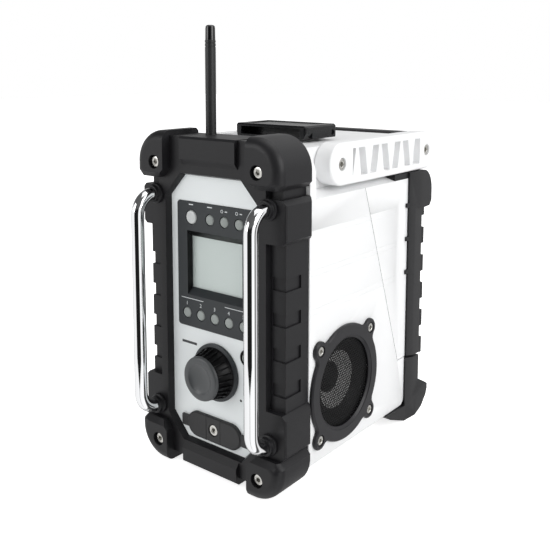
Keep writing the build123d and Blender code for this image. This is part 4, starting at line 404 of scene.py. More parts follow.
def softened(node, edge):
    """A merged copy of a solid with rounded edges and smooth curves."""
    piece = copied(NODES[node], f"{node}_moulding")
    choose(piece)
    bpy.ops.object.mode_set(mode="EDIT")
    weld(SOLID_WELD)
    bpy.ops.mesh.dissolve_limited(angle_limit=math.radians(FLAT_ANGLE))
    apply_modifier(piece, "BEVEL", width=edge, segments=EDGE_SEGMENTS, limit_method="ANGLE",
                   angle_limit=math.radians(SMOOTH_ANGLE), miter_outer="MITER_ARC", loop_slide=False)
    smooth(piece)
    return apply_modifier(piece, "WEIGHTED_NORMAL", keep_sharp=True, weight=100)


def dress(piece, body, slot, material, *nodes):
    """Puts a finish on a piece, seats it on its body and hides the solids that it stands for."""
    piece.data.materials.clear()
    piece.data.materials.append(material)
    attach(piece, body)
    if nodes:
        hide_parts(*nodes)
    return piece


def mould(node, edge, slot, material):
    """A softened copy of a solid, dressed to stand for it."""
    return dress(softened(node, edge), NODE_BODY[node], slot, material, node)


def coat(material, *nodes):
    """Gives solids that stay as they are a finish."""
    for node in nodes:
        mesh = NODES[node].data
        mesh.materials.clear()
        mesh.materials.append(material)


def middle(node):
    """Middle of a CAD node's box."""
    low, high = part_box(node)
    return (low + high) / 2


def copied(source, name):
    """A copy of an object with a mesh of its own, without the frame's marks."""
    piece = source.copy()
    piece.data = source.data.copy()
    for key in [key for key in piece.keys() if key.startswith("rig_")]:
        del piece[key]
    piece.parent = None
    piece.name = name
    piece.data.name = name
    bpy.context.scene.collection.objects.link(piece)
    return piece


def placed(piece, place, axis=None, spin=0.0):
    """Moves a piece modelled at the origin, its +Z along an axis, and bakes its place."""
    turn = Matrix.Rotation(spin, 4, "Z")
    if axis is not None:
        turn = Vector(axis).to_track_quat("Z", "Y").to_matrix().to_4x4() @ turn
    piece.rotation_mode = "XYZ"
    piece.matrix_world = Matrix.Translation(Vector(place)) @ turn
    return settle(piece)


def joined(pieces, name):
    """Joins pieces into the first of them."""
    choose(pieces[0])
    for piece in pieces:
        piece.select_set(True)
    bpy.ops.object.join()
    return named(name)


def loose_boxes(node):
    """Corners of each separate solid of a CAD node, in a set order."""
    mesh = bmesh.new()
    mesh.from_mesh(NODES[node].data)
    bmesh.ops.transform(mesh, matrix=NODES[node].matrix_world, verts=mesh.verts)
    bmesh.ops.remove_doubles(mesh, verts=mesh.verts, dist=SOLID_WELD * MM)
    left, boxes = set(mesh.verts), []
    while left:
        found, queue = [], [left.pop()]
        while queue:
            vertex = queue.pop()
            found.append(vertex.co.copy())
            near = {edge.other_vert(vertex) for edge in vertex.link_edges} & left
            left -= near
            queue.extend(near)
        boxes.append((Vector([min(point[i] for point in found) for i in range(3)]),
                      Vector([max(point[i] for point in found) for i in range(3)])))
    mesh.free()
    return sorted(boxes, key=lambda pair: tuple(round(value, 5) for value in (*pair[0], *pair[1])))


def bent_bar(name, node):
    """A tube that runs forward, bends up, stands and bends back, in place of a roll bar."""
    low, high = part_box(node)
    radius = (high.x - low.x) / 2
    bend = detail_settings().bar_bend
    x, back = middle(node).x, high.y
    front, bottom, top = low.y + radius, low.z + radius, high.z - radius
    deselect()
    bpy.ops.mesh.primitive_circle_add(vertices=BAR_SIDES, radius=radius, fill_type="NOTHING",
                                      location=(x, back, bottom), rotation=(math.pi / 2, 0, 0))
    bar = settle(named(name))
    edit()
    for run, centre in (((0, front + bend - back, 0), (x, front + bend, bottom + bend)),
                        ((0, 0, top - bottom - 2 * bend), (x, front + bend, top - bend)),
                        ((0, back - front - bend, 0), None)):
        bpy.ops.mesh.extrude_region_move(TRANSFORM_OT_translate={"value": run})
        if centre:
            bpy.ops.mesh.spin(steps=BEND_STEPS, angle=math.pi / 2, center=centre, axis=(1, 0, 0))
    weld(WELD)
    bpy.ops.mesh.fill_holes(sides=BAR_SIDES)
    bpy.ops.mesh.select_all(action="SELECT")
    bpy.ops.mesh.normals_make_consistent(inside=False)
    return smooth(bar, TUBE_ANGLE)


def perforated(name, radius, dome):
    """A domed round sheet with hexagonal holes, modelled at the origin."""
    detail = detail_settings()
    pitch = detail.mesh_pitch
    row = pitch * math.sqrt(3)   # two rows of holes
    columns, rows = math.ceil(2 * radius / pitch) + 2, math.ceil(2 * radius / row) + 2
    deselect()
    bpy.ops.mesh.primitive_circle_add(vertices=6, radius=pitch / math.sqrt(3), fill_type="NGON",
                                      location=(0, 0, 0))
    sheet = named(name)
    edit()
    bpy.ops.mesh.inset(thickness=(pitch - detail.mesh_hole) / 2)
    bpy.ops.mesh.delete(type="FACE")
    bpy.ops.mesh.select_all(action="SELECT")
    bpy.ops.mesh.duplicate_move(TRANSFORM_OT_translate={"value": (pitch / 2, row / 2, 0)})
    for count, step in ((columns, (pitch, 0, 0)), (rows, (0, row, 0))):
        apply_modifier(sheet, "ARRAY", count=count, use_relative_offset=False, use_constant_offset=True,
                       constant_offset_displace=step)
    sheet.location = (-(columns - 0.5) * pitch / 2, -(rows - 0.5) * row / 2, 0)
    settle(sheet)
    pick(sheet, "VERT", lambda vertex: vertex.co.length > radius)
    bpy.ops.mesh.delete(type="VERT")
    weld(MESH_WELD)
    bpy.ops.mesh.select_all(action="DESELECT")
    mesh = bmesh.from_edit_mesh(sheet.data)
    nearest = min(mesh.verts, key=lambda vertex: (round(vertex.co.length, 6), vertex.co.x, vertex.co.y))
    nearest.select_set(True)
    bmesh.update_edit_mesh(sheet.data)
    bpy.ops.transform.translate(value=(0, 0, dome), use_proportional_edit=True,
                                proportional_edit_falloff="SPHERE", proportional_size=radius)
    apply_modifier(sheet, "SOLIDIFY", thickness=detail.mesh_gauge, offset=0)
    return sheet


def socket_bolt(name, radius, head, long):
    """A cap bolt with a hexagon socket, its face at the origin and its shank down -Z, in metres."""
    r, h, end = radius / MM, head / MM, long / MM
    sink, lip, shank = h * BOLT_SINK, r * BOLT_LIP, r * BOLT_SHANK
    floor, rim = (r * share for share in BOLT_DISH)
    mid = lip * ROUND_MIDDLE
    profile = [(0, -sink), (floor, -sink), (rim, 0), (r - lip, 0), (r - mid, -mid), (r, -lip), (r, -h),
               (shank, -h), (shank, -end), (0, -end)]
    bolt = turned(name, profile, (0, 0, 0), UPWARD, steps=BOLT_STEPS)
    deselect()
    bpy.ops.mesh.primitive_cylinder_add(vertices=6, radius=radius * SOCKET_REACH, depth=head * SOCKET_LENGTH,
                                        location=(0, 0, 0))
    return smooth(cut(bolt, named("socket_tool")))


def bolts(node, axis_index):
    """A socket bolt on each bolt of a CAD node; axis_index is the way that they are driven, 0 X or 1 Y."""
    patterns = {}
    for number, (low, high) in enumerate(loose_boxes(node)):
        centre, size = (low + high) / 2, high - low
        radius, long = size.z / 2, size[axis_index]
        outward = Vector((0, 0, 0))
        outward[axis_index] = -1.0 if axis_index == 1 or centre.x < 0 else 1.0
        key = (round(radius, 5), round(long, 4))
        if key not in patterns:
            head = min(HEADS[node] * MM, long * HEAD_SHARE)
            patterns[key] = socket_bolt(f"{node}_pattern", radius, head, long)
        bolt = copied(patterns[key], f"{node}_{number + 1}")
        placed(bolt, centre + outward * (long / 2), outward, spin=number * BOLT_SPIN)
        dress(bolt, NODE_BODY[node], "bolt_steel", steel(), node)
    for pattern in patterns.values():
        bpy.data.objects.remove(pattern)


def lettering(name, text, height, centre):
    """A printed figure, its middle at a place on the control plate, facing -Y."""
    deselect()
    bpy.ops.object.text_add(location=(0, 0, 0))
    words = bpy.context.object.data
    words.body = text
    words.size = height * FONT_SHARE
    words.extrude = detail_settings().ink_height / 2
    words.align_x, words.align_y = "CENTER", "CENTER"
    bpy.ops.object.convert(target="MESH")
    return placed(named(name), centre, FORWARD)


def beside(centre, right, up, face):
    """A place on a face that looks to -Y, given in millimetres from a point in metres."""
    return centre.x + right * MM, face, centre.z + up * MM


def stroke(name, centre, width, height):
    """A printed line on a face that looks to -Y, its size in millimetres."""
    half = Vector((width * MM, detail_settings().ink_height, height * MM)) / 2
    return slab(name, Vector(centre) - half, Vector(centre) + half)


# ---- Shader groups ----
def node_group(name, inputs, outputs):
    """A new shader group with named sockets; returns it with its input and output nodes."""
    group = bpy.data.node_groups.new(name, "ShaderNodeTree")
    for label, kind, value in inputs:
        socket = group.interface.new_socket(name=label, in_out="INPUT", socket_type=kind)
        if value is not None:
            socket.default_value = value
    for label, kind in outputs:
        group.interface.new_socket(name=label, in_out="OUTPUT", socket_type=kind)
    return group, group.nodes.new("NodeGroupInput"), group.nodes.new("NodeGroupOutput")


def wire(tree, *pairs):
    """Links pairs of sockets."""
    for source, target in pairs:
        tree.links.new(source, target)


def put(node, values):
    """Sets a node's inputs by their labels."""
    for label, value in values.items():
        node.inputs[label].default_value = value


def feed(tree, socket, value):
    """Gives a socket another socket's value, or a number."""
    if isinstance(value, (int, float)):
        socket.default_value = value
    else:
        tree.links.new(value, socket)


def maths(tree, operation, first, second=0.0):
    """A maths node fed by sockets or numbers."""
    node = tree.nodes.new("ShaderNodeMath")
    node.operation = operation
    for socket, value in zip(node.inputs, (first, second)):
        feed(tree, socket, value)
    return node.outputs[0]


def noise(tree, vector, scale, detail, roughness=0.5):
    """A noise of about 0 to 1."""
    node = tree.nodes.new("ShaderNodeTexNoise")
    tree.links.new(vector, node.inputs["Vector"])
    feed(tree, node.inputs["Scale"], scale)
    put(node, {"Detail": detail, "Roughness": roughness})
    return node.outputs["Fac"]


def varied(tree, pattern, level, amount, value):
    """A value that a pattern raises and lowers by an amount."""
    swing = maths(tree, "MULTIPLY", maths(tree, "SUBTRACT", pattern, level), amount)
    return maths(tree, "ADD", swing, value)


def moulded_group():
    """Colour drift, patchy sheen and a fine spark-eroded grain, as on moulded plastic."""
    name = "Moulded plastic"
    if name in bpy.data.node_groups:
        return bpy.data.node_groups[name]
    group, given, out = node_group(
        name,
        [("Vector", "NodeSocketVector", None), ("Colour", "NodeSocketColor", (0.5, 0.5, 0.5, 1)),
         ("Drift", "NodeSocketFloat", 0.05), ("Roughness", "NodeSocketFloat", 0.45),
         ("Sheen spread", "NodeSocketFloat", 0.06), ("Grain size", "NodeSocketFloat", 2500.0)],
        [("Colour", "NodeSocketColor"), ("Roughness", "NodeSocketFloat"), ("Height", "NodeSocketFloat")])
    place = given.outputs["Vector"]
    share = varied(group, noise(group, place, *CLOUDS), NOISE_MIDDLE, given.outputs["Drift"], 1.0)
    drifted = group.nodes.new("ShaderNodeVectorMath")
    drifted.operation = "SCALE"
    wire(group, (given.outputs["Colour"], drifted.inputs[0]), (share, drifted.inputs["Scale"]),
         (drifted.outputs[0], out.inputs["Colour"]))
    rough = varied(group, noise(group, place, *PATCHES), NOISE_MIDDLE, given.outputs["Sheen spread"],
                   given.outputs["Roughness"])
    grain = noise(group, place, given.outputs["Grain size"], *GRAIN)
    wire(group, (rough, out.inputs["Roughness"]), (grain, out.inputs["Height"]))
    return group


def handling_group():
    """Fine hairlines and smudges on metal and lenses."""
    name = "Handling marks"
    if name in bpy.data.node_groups:
        return bpy.data.node_groups[name]
    group, given, out = node_group(
        name,
        [("Vector", "NodeSocketVector", None), ("Roughness", "NodeSocketFloat", 0.1),
         ("Smudge", "NodeSocketFloat", 0.05), ("Stretch", "NodeSocketVector", (1, 1, 1))],
        [("Roughness", "NodeSocketFloat"), ("Height", "NodeSocketFloat")])
    place = given.outputs["Vector"]
    stretched = group.nodes.new("ShaderNodeVectorMath")
    stretched.operation = "MULTIPLY"
    wire(group, (place, stretched.inputs[0]), (given.outputs["Stretch"], stretched.inputs[1]))
    rough = varied(group, noise(group, place, *SMUDGES), SMUDGE_LEVEL, given.outputs["Smudge"],
                   given.outputs["Roughness"])
    hairlines = noise(group, stretched.outputs[0], *HAIRLINES)
    wire(group, (rough, out.inputs["Roughness"]), (hairlines, out.inputs["Height"]))
    return group


# ---- Finishes ----
def plain_material(name):
    """A new material, with its tree, its shader and the coordinates of the piece that wears it."""
    material = bpy.data.materials.new(name)
    material.use_nodes = True
    tree = material.node_tree
    place = tree.nodes.new("ShaderNodeTexCoord").outputs["Object"]
    return material, tree, tree.nodes["Principled BSDF"], place


def pattern_node(tree, group, place, values):
    """A shader group on a piece's coordinates, with its values by their labels."""
    node = tree.nodes.new("ShaderNodeGroup")
    node.node_tree = group
    put(node, values)
    tree.links.new(place, node.inputs["Vector"])
    return node


def roughen(tree, shader, pattern, strength, height):
    """Lets a pattern set a shader's roughness and its bumps, which are a height in millimetres."""
    bumps = tree.nodes.new("ShaderNodeBump")
    put(bumps, {"Strength": strength, "Distance": height * MM})
    wire(tree, (pattern.outputs["Roughness"], shader.inputs["Roughness"]),
         (pattern.outputs["Height"], bumps.inputs["Height"]),
         (bumps.outputs["Normal"], shader.inputs["Normal"]))


def moulded(name, colour, roughness, drift, spread, grain, bump, gloss=0.5, coat_weight=0.0, painted_glow=0.0):
    """A moulded plastic or rubber finish, with painted light where a part is to shine though it is no lamp.
    """
    if name in bpy.data.materials:
        return bpy.data.materials[name]
    material, tree, shader, place = plain_material(name)
    values = {"Colour": (*colour, 1), "Drift": drift, "Roughness": roughness, "Sheen spread": spread,
              "Grain size": grain}
    pattern = pattern_node(tree, moulded_group(), place, values)
    tree.links.new(pattern.outputs["Colour"], shader.inputs["Base Color"])
    roughen(tree, shader, pattern, bump, MOULDED_BUMP)
    put(shader, {"Specular IOR Level": gloss})
    if painted_glow:
        put(shader, {"Emission Color": (*colour, 1), "Emission Strength": painted_glow})
    if coat_weight:
        put(shader, {"Coat Weight": coat_weight, "Coat Roughness": COAT_ROUGHNESS})
    return material


def metal(name, colour, roughness, smudge, bump, stretch=(1, 1, 1)):
    """A bare or plated metal finish."""
    if name in bpy.data.materials:
        return bpy.data.materials[name]
    material, tree, shader, place = plain_material(name)
    put(shader, {"Base Color": (*colour, 1), "Metallic": 1.0})
    values = {"Roughness": roughness, "Smudge": smudge, "Stretch": stretch}
    pattern = pattern_node(tree, handling_group(), place, values)
    roughen(tree, shader, pattern, bump, METAL_BUMP)
    return material


def shell_white():
    return moulded("White shell", finish_settings().shell, 0.38,
                   drift=0.02, spread=0.05, grain=1800, bump=0.06)


# Painted shade: grey on the seam's faces, for the shade in the gap between the housings.
def seam_grey():
    return moulded("Seam grey", (0.10, 0.10, 0.105), 0.5,
                   drift=0.05, spread=0.05, grain=1800, bump=0.06, gloss=0.3)


def panel_white():
    return moulded("Panel white", finish_settings().panel, 0.30,
                   drift=0.03, spread=0.05, grain=2200, bump=0.05)


def guard_black():
    return moulded("Guard charcoal", finish_settings().guard, 0.42,
                   drift=0.12, spread=0.08, grain=2600, bump=0.16, gloss=0.28)


def ring_charcoal():
    return moulded("Ring charcoal", finish_settings().ring, 0.36,
                   drift=0.10, spread=0.06, grain=3000, bump=0.10, gloss=0.32)


def plate_black():
    return moulded("Plate charcoal", finish_settings().plate, 0.38,
                   drift=0.08, spread=0.06, grain=3200, bump=0.08, gloss=0.35)


# Painted shade: a near-black gloss that stands in for shadow on the display window's walls.
def window_black():
    return moulded("Window gloss", (0.004, 0.0042, 0.0046), 0.30,
                   drift=0.08, spread=0.05, grain=3000, bump=0.04, gloss=0.2)


def knob_grey():
    return moulded("Knob face", finish_settings().knob, 0.36,
                   drift=0.08, spread=0.05, grain=3200, bump=0.06)


def knob_gloss():
    return moulded("Knob side", (0.005, 0.005, 0.0055), 0.24,
                   drift=0.10, spread=0.05, grain=3200, bump=0.05, gloss=0.14)


def cover_rubber():
    return moulded("Port cover rubber", finish_settings().cover, 0.50,
                   drift=0.10, spread=0.06, grain=2600, bump=0.14, gloss=0.35)


def latch_black():
    return moulded("Latch gloss", (0.006, 0.0062, 0.0072), 0.24,
                   drift=0.10, spread=0.06, grain=2800, bump=0.06, gloss=0.3)


def antenna_black():
    return moulded("Antenna sheath", (0.018, 0.0185, 0.019), 0.38,
                   drift=0.10, spread=0.06, grain=2600, bump=0.08, gloss=0.35)


def tip_gloss():
    return moulded("Antenna tip", (0.004, 0.004, 0.0045), 0.14,
                   drift=0.08, spread=0.04, grain=2600, bump=0.03)


def key_grey():
    return moulded("Key rubber", finish_settings().key, 0.46, drift=0.30, spread=0.08, grain=900, bump=0.22)


def key_silver():
    return moulded("Key silver", finish_settings().power_key, 0.30,
                   drift=0.10, spread=0.05, grain=1500, bump=0.06, coat_weight=0.3)


def inner_black():
    return moulded("Inner black", (0.014, 0.014, 0.015), 0.5,
                   drift=0.08, spread=0.05, grain=2600, bump=0.10, gloss=0.25)


def mesh_black():
    return moulded("Mesh enamel", (0.006, 0.006, 0.0065), 0.5,
                   drift=0.10, spread=0.08, grain=3000, bump=0.05, gloss=0.2)


def cone_paper():
    return moulded("Cone paper", finish_settings().cone, 0.62,
                   drift=0.18, spread=0.06, grain=1200, bump=0.25)


def cone_rubber():
    return moulded("Surround rubber", (0.010, 0.010, 0.011), 0.5,
                   drift=0.08, spread=0.06, grain=2600, bump=0.1, gloss=0.25)


# The display's colour with painted light, though the display is no lamp.
def display_face():
    return moulded("Display background", finish_settings().display, 0.35,
                   drift=0.02, spread=0.04, grain=900, bump=0.01, painted_glow=DISPLAY_PAINTED_GLOW)


def board_green():
    return moulded("Board green", (0.03, 0.11, 0.055), 0.35, drift=0.2, spread=0.1, grain=700, bump=0.1)


def ink_pale():
    return moulded("Pale ink", finish_settings().ink, 0.45, drift=0.04, spread=0.04, grain=2000, bump=0.02)


# Dark ink for the printed volume bar, and painted shade on the disc over the reset pin hole.
def ink_dark():
    return moulded("Dark ink", (0.035, 0.037, 0.04), 0.45, drift=0.04, spread=0.04, grain=2000, bump=0.02)


def chrome():
    return metal("Bar chrome", finish_settings().chrome, 0.035, smudge=0.025, bump=0.003)


def steel():
    return metal("Bolt steel", finish_settings().steel, 0.26, smudge=0.10, stretch=(1, 6, 1), bump=0.04)


def lens_clear():
    """A thin clear lens with faint smudges."""
    if "Lens" in bpy.data.materials:
        return bpy.data.materials["Lens"]
    material, tree, shader, place = plain_material("Lens")
    pattern = pattern_node(tree, handling_group(), place, {"Roughness": 0.05, "Smudge": 0.04})
    tree.links.new(pattern.outputs["Roughness"], shader.inputs["Roughness"])
    put(shader, {"Base Color": (0.78, 0.82, 0.80, 1), "Specular IOR Level": 0.2, "Alpha": 0.09})
    return material


# ---- Operators ----
def groove_tool():
    """Thin bars along both side walls, for the grooves beside the guards' tabs."""
    detail = detail_settings()
    front = CAD_BOX[0].y
    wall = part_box("speaker_housing")[1].x
    bars = []
    for height in (height for pair in GROOVES for height in pair):
        for side in (-1, 1):
            left, right = sorted((side * (wall + GROOVE_PROUD * MM), side * (wall - detail.groove_depth)))
            low = (left, front + GROOVE_ENDS[0] * MM, height * MM - detail.groove / 2)
            high = (right, front + GROOVE_ENDS[1] * MM, height * MM + detail.groove / 2)
            bars.append(slab("groove_tool", low, high))
    return joined(bars, "groove_tool")


class RADIO_OT_shells(bpy.types.Operator):
    """White housings with their grooves"""
    bl_idname = "radio.shells"
    bl_label = "Shells"

    def execute(self, context):
        edge = detail_settings().edge
        mould("front_housing", edge, "white_shell", shell_white())
        for node in ("speaker_housing", "battery_housing"):
            shell = smooth(cut(softened(node, edge), groove_tool()))
            dress(shell, NODE_BODY[node], "white_shell", shell_white(), node)
            # The slanted seam's faces get a grey painted shade.
            shell.data.materials.append(seam_grey())
            for face in shell.data.polygons:
                across = abs(face.normal.x) < SEAM_SIDEWAYS
                if across and SEAM_LEAN[0] < abs(face.normal.z) < SEAM_LEAN[1]:
                    face.material_index = 1
        return {"FINISHED"}


class RADIO_OT_guards(bpy.types.Operator):
    """Charcoal guard, bumpers, rear guards and feet"""
    bl_idname = "radio.guards"
    bl_label = "Guards"

    def execute(self, context):
        pairs = [f"{part}_{side}" for part in ("bumper_top", "bumper_bottom", "rear_foot", "rear_guard")
                 for side in SIDES]
        for node in ("front_guard", *pairs):
            mould(node, detail_settings().edge, "guard_plastic", guard_black())
        return {"FINISHED"}


class RADIO_OT_roll_bars(bpy.types.Operator):
    """Chromed roll bars and their collars"""
    bl_idname = "radio.roll_bars"
    bl_label = "Roll bars"

    def execute(self, context):
        for side in SIDES:
            node = f"roll_bar_{side}"
            dress(bent_bar(f"bar_tube_{side}", node), "radio", "bar_chrome", chrome(), node)
        mould("roll_bar_collars", detail_settings().fine_edge, "guard_plastic", guard_black())
        return {"FINISHED"}


class RADIO_OT_front(bpy.types.Operator):
    """Front panel with its printed bar and the soft port cover"""
    bl_idname = "radio.front"
    bl_label = "Front panel"

    def execute(self, context):
        fine = detail_settings().fine_edge
        mould("front_panel", fine, "front_panel", panel_white())
        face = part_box("front_panel")[0].y
        knob = middle("volume_knob")
        bar = stroke("volume_bar", beside(knob, *VOLUME_BAR, face), *VOLUME_BAR_SIZE)
        dress(bar, "radio", "plate_charcoal", ink_dark())
        # A dark disc over the reset pin hole: painted shade in the hole.
        hole = turned("reset_hole", RESET_HOLE, beside(knob, *RESET_PLACE, face), FORWARD, MARK_STEPS)
        dress(hole, "radio", "plate_charcoal", ink_dark())
        for node in ("port_cover_hub", "port_flap_left", "port_flap_right"):
            mould(node, fine, "plate_charcoal", cover_rubber())
        return {"FINISHED"}


class RADIO_OT_plate(bpy.types.Operator):
    """Control plate with its keys, display and printed marks"""
    bl_idname = "radio.plate"
    bl_label = "Control plate"

    def execute(self, context):
        fine = detail_settings().fine_edge
        # The display window's side and top walls get a painted shade.
        self.darken_window(mould("control_plate", fine, "plate_charcoal", plate_black()))
        mould("menu_button_ring", fine, "plate_charcoal", knob_gloss())
        presets = [f"preset_button_{number}" for number in range(1, PRESETS + 1)]
        for node in ("source_button", "alarm_a_button", "alarm_b_button", "menu_button", *presets):
            mould(node, KEY_EDGE * MM, "button_grey", key_grey())
        mould("power_button", KEY_EDGE * MM, "button_silver", key_silver())
        low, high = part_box("display_lens")
        pane = slab("lens_pane", low, (high.x, high.y - LENS_GAP * MM, high.z), LENS_EDGE * MM)
        dress(pane, "radio", "lens_clear", lens_clear(), "display_lens")
        # The display gets its colour and painted light.
        coat(display_face(), "display_module")
        self.print_marks()
        return {"FINISHED"}

    def darken_window(self, plate):
        """Painted shade: a near-black gloss on the sloping side and top walls around the display, where
        shadow falls.
        """
        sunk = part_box("control_plate")[0].y + WINDOW_EDGE * MM
        low, high = (corner.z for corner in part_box("display_lens"))
        plate.data.materials.append(window_black())
        for wall in plate.data.polygons:
            near = low - WINDOW_SLOPE * MM < wall.center.z < high + WINDOW_SLOPE * MM
            leans = WINDOW_LEAN[0] < -wall.normal.y < WINDOW_LEAN[1] and wall.normal.z < WINDOW_SILL
            if near and leans and wall.center.y > sunk:
                wall.material_index = 1

    def print_marks(self):
        """Figures over the presets, a broken line over them and short marks over the upper keys."""
        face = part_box("control_plate")[0].y
        keys = [middle(f"preset_button_{number}") for number in range(1, PRESETS + 1)]
        marks = []
        for number, key in enumerate(keys, 1):
            marks.append(lettering(f"figure_{number}", str(number), detail_settings().figure,
                                   beside(key, 0, FIGURE_RISE, face)))
        for key, ends in zip((keys[0], keys[-1]), PRESET_LINE_ENDS):
            centre = beside(key, sum(ends) / 2, PRESET_LINE_RISE, face)
            marks.append(stroke("preset_line", centre, abs(ends[1] - ends[0]), PRESET_LINE_HEIGHT))
        for node, rise, width in KEY_MARKS:
            marks.append(stroke("key_mark", beside(middle(node), 0, rise, face), width, KEY_MARK_HEIGHT))
        for node in ("alarm_a_button", "alarm_b_button"):
            key = middle(node)
            clock = beside(key, CLOCK_PLACE, ALARM_RISE, face)
            marks.append(turned("clock_mark", CLOCK_RING, clock, FORWARD, steps=MARK_STEPS))
            dash = beside(key, DASH_PLACE, ALARM_RISE, face)
            marks.append(stroke("key_mark", dash, DASH_WIDTH, KEY_MARK_HEIGHT))
        dress(joined(marks, "plate_print"), "radio", "button_silver", ink_pale())


class RADIO_OT_knob(bpy.types.Operator):
    """Ribbed volume knob with its dished face and skirt"""
    bl_idname = "radio.knob"
    bl_label = "Volume knob"

    def execute(self, context):
        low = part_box("volume_knob")[0]
        centre = middle("volume_knob")
        base = Vector((centre.x, low.y + KNOB_HEIGHT * MM, centre.z))
        for name, profile, material in (("knob_cap", KNOB_CAP, knob_grey()),
                                        ("knob_skirt", KNOB_SKIRT, plate_black())):
            piece = turned(name, profile, base, FORWARD, steps=KNOB_STEPS)
            dress(piece, "knob", "plate_charcoal", material, "volume_knob")
        pieces = [turned("knob_core", KNOB_CORE, (0, 0, 0), UPWARD, steps=KNOB_STEPS)]
        count = detail_settings().knob_ribs
        pattern = self.rib()
        for number in range(count):
            pieces.append(placed(copied(pattern, "knob_rib"), (0, 0, 0), spin=2 * math.pi * number / count))
        bpy.data.objects.remove(pattern)
        grip = placed(joined(pieces, "knob_grip"), base, FORWARD)
        dress(smooth(grip), "knob", "plate_charcoal", knob_gloss(), "volume_knob")
        return {"FINISHED"}

    def rib(self):
        """One rounded rib on +X, leaning with the knob's draft."""
        radius, low, high, half, proud = (value * MM for value in KNOB_RIB)
        deselect()
        bpy.ops.mesh.primitive_cube_add(size=1, location=(radius, 0, (low + high) / 2))
        rib = named("knob_rib")
        rib.scale = (proud * 2, half * 2, high - low)
        settle(rib)
        pick(rib, "FACE", lambda face: face.normal.x > 0.5)
        bpy.ops.transform.resize(value=(1, *RIB_CROWN))
        pick(rib, "VERT", lambda vertex: vertex.co.z < (low + high) / 2)
        bpy.ops.transform.translate(value=(KNOB_DRAFT * MM, 0, 0))
        bpy.ops.mesh.select_all(action="SELECT")
        bpy.ops.mesh.bevel(offset=RIB_EDGE * MM, segments=EDGE_SEGMENTS, affect="EDGES", clamp_overlap=True)
        bpy.ops.object.mode_set(mode="OBJECT")
        return rib


class RADIO_OT_speakers(bpy.types.Operator):
    """Speaker rings, perforated meshes and cones"""
    bl_idname = "radio.speakers"
    bl_label = "Speakers"

    def execute(self, context):
        low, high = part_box("speaker_mesh_right")
        gauge = detail_settings().mesh_gauge
        pattern = perforated("mesh_pattern", (high.z - low.z) / 2, high.x - low.x - gauge)
        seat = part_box("speaker_cone_right")[1].x - SURROUND_RISE * MM
        for side, way in zip(SIDES, (-1, 1)):
            mould(f"speaker_ring_{side}", RING_EDGE * MM, "ring_charcoal", ring_charcoal())
            centre = middle(f"speaker_mesh_{side}")
            rim = (way * (low.x + gauge / 2), centre.y, centre.z)
            mesh = placed(copied(pattern, f"mesh_sheet_{side}"), rim, (way, 0, 0))
            dress(mesh, "radio", "mesh_steel", mesh_black(), f"speaker_mesh_{side}")
            for part, profile, material in (("surround", SURROUND, cone_rubber()),
                                            ("paper", CONE, cone_paper()),
                                            ("cap", DUST_CAP, cone_rubber())):
                piece = turned(f"cone_{part}_{side}", profile, (way * seat, centre.y, centre.z), (way, 0, 0))
                apply_modifier(piece, "SOLIDIFY", thickness=CONE_GAUGE * MM, offset=0)
                dress(smooth(piece, CONE_ANGLE), "radio", "cone_black", material, f"speaker_cone_{side}")
        bpy.data.objects.remove(pattern)
        coat(inner_black(), "speaker_basket_left", "speaker_basket_right")
        return {"FINISHED"}


class RADIO_OT_antenna(bpy.types.Operator):
    """Flexible antenna and its socket"""
    bl_idname = "radio.antenna"
    bl_label = "Antenna"

    def execute(self, context):
        low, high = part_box("antenna_rod")
        centre = middle("antenna_rod")
        r, top = (high.x - low.x) / 2 / MM, (high.z - low.z) / MM
        cap = top - ANTENNA_CAP
        sheath = [(0, 0), (r, 0)]
        skin, floor = RING_WIDTHS
        for mid in (cap - ring for ring in ANTENNA_RINGS):
            sheath += [(r, mid - skin), (r - RING_DEPTH, mid - floor), (r - RING_DEPTH, mid + floor),
                       (r, mid + skin)]
        share, chamfer = SHEATH_END
        sheath += [(r, cap - chamfer), (r * share, cap), (0, cap)]
        share, sunk = TIP_FOOT
        tip = [(0, cap - sunk), (r * share, cap - sunk)]
        tip += [(r * share, top - drop) for share, drop in TIP_DOME]
        for name, profile, material in (("antenna_sheath", sheath, antenna_black()),
                                        ("antenna_tip", tip, tip_gloss())):
            piece = turned(name, profile, (centre.x, centre.y, low.z), UPWARD, steps=ANTENNA_STEPS)
            dress(piece, "radio", "guard_plastic", material, "antenna_rod")
        mould("antenna_socket", SOCKET_EDGE * MM, "guard_plastic", guard_black())
        return {"FINISHED"}


class RADIO_OT_handle(bpy.types.Operator):
    """Handle arms with their truss pockets, and the grip"""
    bl_idname = "radio.handle"
    bl_label = "Handle"

    def execute(self, context):
        edge = detail_settings().arm_edge
        for side in SIDES:
            mould(f"handle_arm_{side}", edge, "white_shell", shell_white())
        mould("handle_grip", edge, "guard_plastic", guard_black())
        return {"FINISHED"}


class RADIO_OT_latch(bpy.types.Operator):
    """Latch over the deck"""
    bl_idname = "radio.latch"
    bl_label = "Latch"

    def execute(self, context):
        mould("latch_lever", detail_settings().fine_edge, "guard_plastic", latch_black())
        return {"FINISHED"}


class RADIO_OT_bolts(bpy.types.Operator):
    """Socket bolts of the guard, port cover, speakers and handle"""
    bl_idname = "radio.bolts"
    bl_label = "Bolts"

    def execute(self, context):
        bolts("front_bolts", 1)
        for node in ("speaker_bolts", "handle_pivot_bolts", "handle_grip_bolts"):
            bolts(node, 0)
        return {"FINISHED"}


class RADIO_OT_inner(bpy.types.Operator):
    """Finishes of the pieces inside"""
    bl_idname = "radio.inner"
    bl_label = "Inner pieces"

    def execute(self, context):
        coat(inner_black(), "aux_jack", "power_inlet", "bay_bulkhead", "battery_terminal")
        coat(board_green(), "control_board")
        coat(steel(), "hinge_pin", "volume_encoder")
        coat(latch_black(), "latch_pin")
        return {"FINISHED"}


